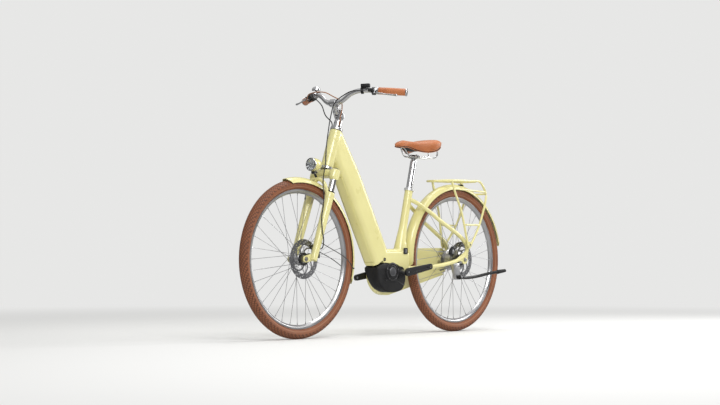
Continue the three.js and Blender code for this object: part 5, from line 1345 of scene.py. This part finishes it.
rail_shares = [(-0.537, 1, 1.45), (-0.594, 0.63, 1.36), (-0.611, 0.26, 1.23), (-0.53, 0, 1.09),
               (-0.225, 0, 1), (0.1, -0.02, 1), (0.234, 0.05, 0.73), (0.357, 0.67, 0.45)]
rails = {left: [rail_spot(forward, up, left * out) for forward, up, out in rail_shares] for left in SIDES}
rail_route = smooth_route([*rails[1], rail_spot(0.38, 0.74, 0), *reversed(rails[-1])], 10)
piece("saddle_rail_wire", swept(rail_route, 3.5, 20), chrome, "seat", "saddle_rails")
print("seat post and rails made")

# %% [markdown]
# ### Saddle
# A wide city saddle: broad at the back, a narrow nose, and a crown that dips a little in the
# middle. Rows of shares give its form, and the cover is then blown up as cloth from a slightly
# smaller shape, which rounds it the way that foam under leather does. No point may travel more
# than a few millimetres, because the foam is firm. Piping, stitches and a black base shell follow;
# the base is a real part and also serves as painted shade under the saddle.

# %% Saddle form
SADDLE_LENGTH, SADDLE_WIDTH, SADDLE_HEIGHT = 286, 190, 65
SADDLE_NOSE, SADDLE_TOP = 461, 955
CLOTH_FRAMES, CLOTH_STIFFNESS = 20, 25
saddle_rows = [(0.003, 0.474, 0.31, 0.42), (0.052, 0.84, 0.06, 0.57), (0.14, 0.968, 0, 0.80),
               (0.227, 1, 0.06, 0.94), (0.35, 0.91, 0.14, 1.06), (0.472, 0.70, 0.215, 1.06),
               (0.594, 0.46, 0.24, 0.95), (0.734, 0.316, 0.215, 0.754), (0.857, 0.263, 0.185, 0.738),
               (0.944, 0.19, 0.31, 0.708), (1, 0.084, 0.51, 0.65)]
saddle_section = [(0.5, 0.82), (0.88, 1), (0.99, 0.7), (0.985, 0.36), (0.86, 0.11), (0.5, 0.02), (0, 0)]


def other_side(row):
    """The same points on the other side of the bike, in reverse order."""
    return [Vector((spot.x, -spot.y, spot.z)) for spot in reversed(row)]


def saddle_ring(row, shrink=0.0):
    run, width, top, bottom = row
    high, low = SADDLE_TOP - SADDLE_HEIGHT * top - shrink, SADDLE_TOP - SADDLE_HEIGHT * bottom + shrink
    half = SADDLE_WIDTH / 2 * width - shrink
    x = SADDLE_NOSE - (SADDLE_LENGTH - 2 * shrink) * (1 - run) - shrink
    right = [Vector((x, -out * half, high - down * (high - low))) for out, down in saddle_section]
    return [*right, *other_side(right[:-1])]


def saddle_body(shrink):
    columns = [smooth_route(column, 4) for column in zip(*[saddle_ring(row, shrink) for row in saddle_rows])]
    return loft([smooth_route(ring, 3) for ring in zip(*columns)])


def puffed(bm, voxel, pressure, cap):
    """Blows a closed shape up as cloth, with no point moving more than cap."""
    rest = baked(melted(bm, voxel))
    bmesh.ops.scale(rest, verts=rest.verts[:], vec=(MM, MM, MM))
    skin = as_object(rest, "puffing")
    before = [vertex.co.copy() for vertex in skin.data.vertices]
    settings = skin.modifiers.new("cloth", "CLOTH").settings
    settings.use_pressure = True
    settings.uniform_pressure_force = pressure
    settings.effector_weights.gravity = 0
    settings.tension_stiffness = CLOTH_STIFFNESS
    for count in range(1, CLOTH_FRAMES + 1):
        bpy.context.scene.frame_set(count)
    blown = baked(skin)
    bpy.context.scene.frame_set(1)
    for vertex, start in zip(blown.verts, before):
        moved = vertex.co - start
        if moved.length > cap * MM:
            moved = moved.normalized() * cap * MM
        vertex.co = (start + moved) * 1000
    return blown


saddle_cover = puffed(saddle_body(2.4), 4.5, 4.0, 2.6)
saddle = piece("saddle_cover", saddle_cover, leather, "seat", "saddle", smooth=80)
finer = saddle.modifiers.new("round", "SUBSURF")
finer.levels = finer.render_levels = 1
print("saddle cover:", len(saddle.data.vertices), "points")

# %% Saddle piping, stitches and base
edge = smooth_route([saddle_ring(row, 0.8)[1] for row in saddle_rows[:-1]], 6)
piece("saddle_piping", swept([*edge, *other_side(edge), edge[0]], 1.3, 10), leather, "seat")
seam = smooth_route([saddle_ring(row, 0.2)[3] for row in saddle_rows[:-1]], 10)
stitches = []
for near, far in list(zip(seam, seam[1:]))[::2]:
    for flip in SIDES:
        start, stop = Vector((near.x, flip * near.y, near.z)), Vector((far.x, flip * far.y, far.z))
        stitches.append(rod(start, start.lerp(stop, 0.8), 0.55, steps=6))
thread = finish("waxed thread", "brown_leather", (0.56, 0.33, 0.18), (0.48, 0.27, 0.14), (0.5, 0.65),
                bump=0.3)
piece("saddle_stitches", gather(*stitches), thread, "seat")
# The black base shell is a real part, and it also serves as painted shade on the underside and far wing of the
# saddle.
base_section = [(-0.86, 0.97, 1.0), (-0.5, 0.82, 1.2), (0, 0.82, 1.2), (0.5, 0.82, 1.2), (0.86, 0.97, 1.0),
                (0.82, 0.84, 0), (0, 0.7, 0), (-0.82, 0.84, 0)]
base_rings = []
for run, width, top, bottom in saddle_rows[1:-1]:
    high, low = SADDLE_TOP - SADDLE_HEIGHT * top, SADDLE_TOP - SADDLE_HEIGHT * bottom
    x = SADDLE_NOSE - SADDLE_LENGTH * (1 - run)
    base_rings.append([Vector((x, out * width * SADDLE_WIDTH / 2, high - down * (high - low) - drop))
                       for out, down, drop in base_section])
base_columns = [smooth_route(column, 4) for column in zip(*base_rings)]
piece("saddle_base", loft(zip(*base_columns)), black_shell, "seat")
print("saddle trimmed")

# %% [markdown]
# ## Stem and handlebar
# The stem folds at a barrel, so that the bar can be set for reach. Its parts are polished castings:
# rough solids are melted together, so that the pivot, arm and clamp run into each other. The bar is
# one bent tube with a thicker middle.

# %% Stem
stem_pivot = on_steering(71)
bar_centre = stem_pivot + 37.4 * ahead + 63 * upright
column = turned([(0, 12.6), (17.6, 12.6), (19, 14), (19, 48.5), (17.5, 51.2), (14, 52), (0, 52)], head_top,
                64, axis=steer_up)
barrel = cross_rod(stem_pivot, 10.8, 15.6, 64)
base = welded(gather(column, rod(on_steering(46), stem_pivot, 11, steps=40), barrel), 1.3, 4)
piece("stem_column", base, chrome, "steering", "stem_base", smooth=60)
arm_run = (bar_centre - stem_pivot).normalized()
arm_parts = [rod(stem_pivot + 20 * arm_run, bar_centre - 8 * arm_run, 14.6, steps=48),
             cross_rod(bar_centre, 20, 18.8, 64)]
for low in (11.3, -19):
    arm_parts.append(plate([belt(stem_pivot + 28 * arm_run, 12.8, stem_pivot, 15.8, 24)], low, low + 7.7,
                           1.5, 3))
arm = welded(gather(*arm_parts), 1.4, 5)
split = cross_rod(bar_centre + 18 * ahead - 4 * upright, 22, 0.7, 8)
piece("stem_arm_casting", carved(arm, cross_rod(bar_centre, 30, 12.9, 48), split), chrome, "bar", "stem_arm",
      smooth=60)
bolts = []
for left in SIDES:
    bolts.append(turned([(radius, out * left) for radius, out in (
        (0, 0.6), (4, 0.6), (4.4, 1.6), (7, 1.6), (8.2, 0.6), (8.4, -1))], stem_pivot + left * 19 * side, 32))
    bolts.append(turned([(0, 18.6), (2.2, 18.6), (2.4, 19.8), (3.8, 19.8), (4.4, 19), (4.4, 16)],
                        bar_centre + left * 13 * side, 24, axis=-arm_run.cross(side).normalized()))
piece("stem_bolts", gather(*bolts), steel, "bar")
print("stem made")

# %% Handlebar
BAR_SWEEP, BAR_HALF, BAR_RISE = 143, 322, 51.5


def bar_points(left):
    shares = [(0, 0.081, 0), (0.028, 0.161, 0.194), (0.084, 0.273, 0.68), (0.154, 0.379, 0.932),
              (0.294, 0.497, 1), (0.531, 0.627, 0.951), (0.769, 0.809, 0.857), (1, 0.9876, 0.763)]
    return [bar_centre - sweep * BAR_SWEEP * ahead + left * out * BAR_HALF * side + rise * BAR_RISE * upright
            for sweep, out, rise in shares]


bar_route = smooth_route([*reversed(bar_points(1)), bar_centre, *bar_points(-1)], 10)
bulge = turned([(11, -26), (12.2, -23.5), (12.7, -20), (12.7, 20), (12.2, 23.5), (11, 26)], bar_centre, 48)
piece("handlebar_tube", gather(swept(bar_route, 11.1, 32), bulge), chrome, "bar", "handlebar")


def on_bar(left, share):
    """The place and the direction at a share of one half of the bar's length."""
    route = smooth_route(bar_points(left), 24)
    run = share * sum((far - near).length for near, far in zip(route, route[1:]))
    for near, far in zip(route, route[1:]):
        if run <= (far - near).length:
            break
        run -= (far - near).length
    along = (far - near).normalized()
    return near + along * run, along


def on_grip(left, run, forward=0, rise=0):
    start, stop = bar_points(left)[5], bar_points(left)[7]
    along = (stop - start).normalized()
    front = along.cross(upright).normalized() * left
    return start + run * along + forward * front + rise * upright


def grip_run(left):
    return (on_grip(left, 10) - on_grip(left, 0)).normalized()


print("handlebar bent")

# %% [markdown]
# ### Grips, levers and controls
# The grips are leather sleeves, laced along the underside and closed by polished rings. The brake
# levers turn in a moulded housing with an oil reservoir. The twist shifter has a ribbed sleeve.

# %% Grips and twist sleeve
grip_end = (bar_points(1)[7] - bar_points(1)[5]).length + 4


def sleeve(left, rows, closed=True):
    return turned(rows, on_grip(left, 0), 48, closed, axis=grip_run(left))


for name, left, start in (("grip_left", 1, 0), ("grip_right", -1, 36.9)):
    span = grip_end - 6 - start - 5
    rows = [(11.3, start + 5), (15.8, start + 5), (16.6, start + 7)]
    rows += [(16.3 + 0.7 * math.sin(math.pi * count / 10), start + 7 + (span - 4) * count / 10)
             for count in range(1, 10)]
    rows += [(16.6, start + 5 + span - 2), (15.8, start + 5 + span), (11.3, start + 5 + span)]
    piece(f"{name}_leather", sleeve(left, rows), leather, "bar", name)
    inner = [(11.3, start + 0.2), (16.6, start + 0.2), (17.4, start + 1), (17.4, start + 4.2),
             (16.6, start + 5), (11.3, start + 5)]
    piece(f"{name}_inner_ring", sleeve(left, inner), chrome, "bar")
    outer = [(11.3, grip_end - 6), (18.2, grip_end - 6), (19, grip_end - 5.2), (19, grip_end - 2.4),
             (17.4, grip_end - 0.8), (13, grip_end), (0, grip_end)]
    piece(f"{name}_end_ring", sleeve(left, outer, False), chrome, "bar")
    lacing = []
    for count in range(18):
        run = start + 10 + (span - 10) * count / 17
        lacing.append(rod(on_grip(left, run, -3.4, -16.1), on_grip(left, run + 2.6, 3.4, -16.1), 0.6,
                          steps=6))
    piece(f"{name}_lacing", gather(*lacing), thread, "bar")


def ribbed_sleeve(left, low, high, radius, ribs):
    along = grip_run(left)
    across = along.cross(upright).normalized()
    up = across.cross(along).normalized()
    rings = []
    for run, room, depth in ((low, -1.0, 0.0), (low + 1, 0, 0.0), (low + 3.4, 0, 1.1), (high - 3.4, 0, 1.1),
                             (high - 1, 0, 0.0), (high, -1.0, 0.0)):
        ring = []
        for count in range(ribs * 6):
            angle = 2 * math.pi * count / (ribs * 6)
            ridge = radius + room - depth * (0.5 - 0.5 * math.cos(ribs * angle))
            ring.append((ridge * math.cos(angle), ridge * math.sin(angle)))
        rings.append(set_ring(ring, on_grip(left, run), across, up))
    return carved(loft(rings), rod(on_grip(left, low - 5), on_grip(left, high + 5), 11.4, steps=32))


brown_rubber = finish("brown moulded rubber", "brown_leather", (0.24, 0.082, 0.032), (0.19, 0.062, 0.023),
                      (0.6, 0.75), bump=0.25)
piece("shift_twist_sleeve", ribbed_sleeve(-1, 8.6, 36.6, 19, 16), brown_rubber, "twist", "shift_twist")
shifter_ring = sleeve(-1, [(11.4, -5), (17.6, -5), (19.1, -3.6), (19.1, 7), (17.8, 8.3), (11.4, 8.3)])
snout = rod(on_grip(-1, 2, 8, -8), on_grip(-1, 2, 22, -24), 5, 4, 24)
piece("shifter_housing", gather(shifter_ring, snout), black_shell, "bar", "shifter")
print("grips and shifter made")


# %% Brake levers
LEVER_LENGTH = 108


def brake_side(name, left):
    def on_pivot(rise, run=0, forward=0):
        return on_grip(left, run - 10, 34 + forward, rise - 13)

    ring = rod(on_grip(left, -27), on_grip(left, -13), 16.1, steps=48)
    housing = rod(on_grip(left, -26.7, 10), on_pivot(0), 9, steps=32)
    tank = rod(on_grip(left, -40, 22), on_grip(left, -13, 22), 9, steps=32)
    yoke_room = rod(on_pivot(-6), on_pivot(6), 13, steps=40)
    yoke = [rod(on_pivot(low), on_pivot(low + 4), 10, steps=32) for low in (6, -10)]
    body = carved(welded(gather(ring, housing, tank), 1.4, 5), yoke_room,
                  rod(on_grip(left, -40), on_grip(left, 0), 11.3, steps=32))
    piece(f"brake_perch_{name}_body", gather(body, *yoke), black_alloy, "bar", f"brake_perch_{name}",
          bevel=0.4)
    pin = rod(on_pivot(-10.6), on_pivot(10.6), 2.5, steps=16)
    gland = rod(on_grip(left, -39.6, 22), on_grip(left, -46, 22), 4.6, 3.2, 24)
    piece(f"brake_pin_{name}", gather(pin, gland), steel, "bar")
    shares = [(0, 0, 0), (0.22, 0.09, -0.02), (0.56, 0.11, -0.05), (0.89, 0.15, -0.07), (1, 0.2, -0.08)]
    route = smooth_route([on_pivot(rise * LEVER_LENGTH, run * LEVER_LENGTH, forward * LEVER_LENGTH)
                          for run, forward, rise in shares], 8)
    radii = [1.1 - 0.35 * math.sin(math.pi * min(1, step / (len(route) - 3))) for step in range(len(route))]
    blade = swept(route, 4.6, 24, radii)
    ball = bmesh.ops.create_uvsphere(blade, u_segments=24, v_segments=16, radius=5.0)
    bmesh.ops.translate(blade, verts=ball["verts"], vec=route[-1])
    eye = rod(on_pivot(-5.5), on_pivot(5.5), 7, steps=40)
    lever = carved(welded(gather(blade, eye), 1.1, 3), rod(on_pivot(-12), on_pivot(12), 2.8, steps=24))
    piece(f"brake_lever_{name}_blade", lever, alloy, f"lever_{name}", f"brake_lever_{name}", smooth=60)


brake_side("left", 1)
brake_side("right", -1)
print("levers made")


# %% Display and bell
def clamp_ring(spot, run):
    return turned([(11.3, -6), (15.2, -6), (16.1, -5), (16.1, 5), (15.2, 6), (11.3, 6)], spot, 48,
                  closed=True, axis=run)


spot, run = on_bar(1, 0.4)
across = run.cross(upright).normalized()
up = across.cross(run).normalized()
desk = soft_block((14, 9, 4, 5), ((-4, 1.2), (-3.4, 0.4), (-2.4, 0), (34.4, 0), (35.4, 0.4), (36, 1.2)),
                  spot + 21 * up, run, across, up)
screen_room = soft_block((10.5, 2, 1.6, 3), ((3, 0), (29, 0)), spot + 30.6 * up, run, across, up)
piece("display_case", gather(carved(desk, screen_room), clamp_ring(spot, run)), black_shell, "bar", "display")
panel = finish("dark display glass", "black_plastic", (0.012, 0.014, 0.017), (0.008, 0.010, 0.012),
               (0.05, 0.09), bump=0.01, coat=0.6)
pane = soft_block((10.3, 0.5, 0.4, 2), ((3.2, 0), (28.8, 0)), spot + 29.2 * up, run, across, up)
piece("display_glass", pane, panel, "bar", bevel=0.2)
keys = [soft_block((4.2, 2.6, 1.5, 3), ((13.4, 0), (14.6, 0), (15, 0.5)), spot + place * run + 21 * up,
                   across, run, up) for place in (4, 16, 28)]
piece("display_keys", gather(*keys), rubber, "bar")

spot, run = on_bar(-1, 0.4)
base_spot = spot + 20 * upright
dome = turned([(0, 20), (3.4, 19.9), (7, 19.2), (11, 17.5), (14.4, 15.6), (17.4, 12), (19.2, 8), (19.9, 4),
               (20, 0.6), (19.4, 0), (18.6, 0.4), (18, 4), (15.5, 11), (10, 15.8), (0, 17.4)], base_spot,
              64, axis=upright)
nut = turned([(0, 20.2), (2, 20.2), (3.2, 19.6), (3.2, 18)], base_spot, 6, axis=upright)
foot = rod(spot + 12 * upright, base_spot + 17 * upright, 4.6, 3, 24)
lug = rod(spot + 9 * upright, spot - 25 * ahead + 9 * upright, 4)
piece("bell_dome", gather(dome, nut, foot, lug, clamp_ring(spot, run)), chrome, "bar", "bell", bevel=0.2)
seat_spot = spot - 25 * ahead + 13.3 * upright
tab_spot = seat_spot + 2.5 * upright
striker = gather(turned([(0, 0), (4.4, 0), (5, 0.6), (5, 4.2), (4, 5), (0, 5)], seat_spot, 32, axis=upright),
                 rod(tab_spot, tab_spot - 14 * ahead + 7 * side, 2.4, 2.0, 16))
piece("bell_striker_tab", striker, black_shell, "striker", "bell_striker")
print("display and bell made")

# %% [markdown]
# ## Kickstand and charge port cover
# The stand is a bent alloy leg with a rubber foot. It pivots on a plate that is clamped to the left
# chain stay. The charge port on the frame's left side is closed by a rubber flap.

# %% Kickstand, bracket and charge cover
STAND_LENGTH = 320
stand_axis = Vector((0, 1, 0))
stand_axis.rotate(Matrix.Rotation(math.radians(8.2), 3, ahead))
stand_axis.rotate(Matrix.Rotation(math.radians(10), 3, upright))
stand_reach = 9 * stand_axis.y + 12 * math.hypot(stand_axis.x, stand_axis.z)
stand_pivot = rear_axle + 58 * ahead - 87 * upright + (75 + stand_reach + 0.3) * side


def on_stand(along, out, up):
    return stand_pivot + along * STAND_LENGTH * ahead + out * STAND_LENGTH * side + up * STAND_LENGTH * upright


leg_route = smooth_route([stand_pivot, on_stand(-0.12, 0.006, -0.0125), on_stand(-0.36, 0.025, 0.003),
                          on_stand(-0.65, 0.075, 0.053), on_stand(-0.94, 0.131, 0.092)], 8)
hub_bar = turned([(0, -9), (10.8, -9), (12, -7.8), (12, 7.8), (10.8, 9), (0, 9)], stand_pivot, 48,
                 axis=stand_axis)
leg = welded(gather(hub_bar, swept(leg_route, 7.8, 24)), 1.5, 3)
piece("kickstand_leg", leg, black_alloy, "stand", "kickstand", smooth=60)
pivot_bolt = turned([(0, 9.4), (3.4, 9.4), (3.8, 8.6), (6.6, 8.6), (6.6, 9.8), (5.6, 10.6), (0, 10.6)],
                    stand_pivot, 6, axis=stand_axis)
piece("kickstand_bolt", pivot_bolt, steel, "stand")
foot_start, foot_end = on_stand(-0.825, 0.108, 0.076), on_stand(-1, 0.1416, 0.099)
foot_run = (foot_end - foot_start).length
foot_rows = [(0, 0), (9.4, 0), (10.6, 1.4)]
for count in range(5):
    place = 4 + (foot_run - 12) * count / 4
    wide = 11 - 3 * place / foot_run
    foot_rows += [(wide, place), (wide, place + 3), (wide - 1.1, place + 3.6), (wide - 1.1, place + 5)]
foot_rows += [(8, foot_run - 2), (6.5, foot_run), (0, foot_run)]
shoe = turned([(radius, min(place, foot_run)) for radius, place in foot_rows], foot_start, 32,
              axis=(foot_end - foot_start).normalized())
piece("kickstand_foot", shoe, rubber, "stand")
bracket_outline = [(42 + x * 52, 260 + z * 84) for x, z in (
    (0.08, 1), (1, 0.95), (0.88, 0.48), (0.62, 0.02), (0.15, 0), (0, 0.48))]
clear_stay = swept(smooth_route(chain_stay_route(1), 8), 11.2, 20)
bracket_plate = carved(plate([bracket_outline], 56, 75, 2.5, 3), clear_stay)
piece("kickstand_bracket_plate", bracket_plate, alloy, "frame", "kickstand_bracket", bevel=0.4)
bracket_bolts = [rod(Vector((x, 74, 330)), Vector((x, 77.4, 330)), 4.6, 4.2, 6) for x in (54, 82)]
piece("kickstand_bracket_bolts", gather(*bracket_bolts), steel, "frame")
flap_middle = on_bracket(-35, 102)


def flap_plate(wide, tall, corner, low, high, bevel=0, segments=3):
    outline = [(flap_middle.x + x, flap_middle.z + z) for x, z in round_box(wide, tall, corner, 6)]
    return plate([outline], low, high, bevel, segments)


flap = carved(flap_plate(15, 15, 4, 45.3, 48.3, 0.9), flap_plate(11, 11, 3, 47.5, 52))
tab = rod(flap_middle + Vector((-5, 47.9, 12.6)), flap_middle + Vector((5, 47.9, 12.6)), 1.1, steps=16)
piece("charge_cover_flap", gather(flap, tab), rubber, "charge_flap", "charge_cover")
piece("charge_cover_plate", flap_plate(8.5, 9.5, 2, 46.8, 48.2, 0.5, 2), disc_steel, "charge_flap")
print("stand and charge cover made")

# %% [markdown]
# ## Cables
# A shift cable and two brake hoses, each swept along a route between its two ends. Where the
# stem folds or the fork dives, a real cable bends; here each length is one fixed mesh on no body.
# The front hose crosses two joints, and it is made as an upper and a lower length that meet
# below the crown.

# %% Cables and hoses
def near_head(x, y, z):
    return head_top + x * ahead + y * side + z * upright


def below_crown(drop, forward, left):
    return on_steering(-197 - drop, forward, left)


def entry(left):
    """Where a cable goes down into the headset cover."""
    return [on_steering(38.9, 16, left * 26), on_steering(21.9, 12, left * 21),
            on_steering(12.9, 12, left * 21)]


def hose_start(left):
    """Where a brake hose leaves its perch."""
    return [on_grip(left, -40 - run, 22) for run in (0.6, 5, 10)]


def cable(name, points, look, replaced):
    mesh = piece(name, swept(smooth_route(points, 6), 2.6, 12), look, None, replaced, smooth=60)
    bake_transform(mesh)


shift_points = [on_grip(-1, 2, 25, -27), on_grip(-1, -12, 38, -32), on_grip(-1, -28, 42, -22),
                on_grip(-1, -40, 40, -2), near_head(11, -146, 186), near_head(17, -96, 188),
                near_head(3, -64, 184), near_head(-15, -34, 166), near_head(-21, 14, 138),
                near_head(-11, 27, 98), near_head(1, 28, 62), *entry(1)]
cable("shift_cable_jacket", shift_points, tan_jacket, "shift_cable")
rear_points = [*hose_start(-1), near_head(9, -148, 170), near_head(27, -120, 163), near_head(39, -84, 146),
               near_head(43, -50, 118), near_head(35, -34, 72), *entry(-1)]
cable("rear_hose_jacket", rear_points, black_jacket, "rear_brake_hose")
front_meet = [near_head(91, 22, -88), near_head(109, 34, -163)]
front_upper = [*hose_start(1), near_head(6, 150, 178), near_head(25, 122, 176), near_head(41, 84, 158),
               near_head(53, 40, 124), near_head(63, 24, 62), near_head(75, 20, -8), *front_meet]
front_lower = [*front_meet, below_crown(48, 54, 46), below_crown(103, 54, 60), below_crown(153, 38, 68),
               below_crown(203, 30, 70), below_crown(243, 26, 72), below_crown(303, 14, 84),
               below_crown(348, -12, 84), below_crown(377, -26, 70), below_crown(381, -22, 58),
               below_crown(381, -22, 50.7)]
cable("front_hose_upper", front_upper, black_jacket, "front_brake_hose")
cable("front_hose_lower", front_lower, black_jacket,
      "front_brake_hose")
ferrules = [turned([(2.5, -1), (3.8, -1), (4.2, 0), (4.2, 5), (3.4, 7), (2.5, 7)], entry(left)[-1], 24,
                   closed=True, axis=steer_up) for left in SIDES]
piece("cable_ferrules", gather(*ferrules), black_shell, "steering")
print("cables run")
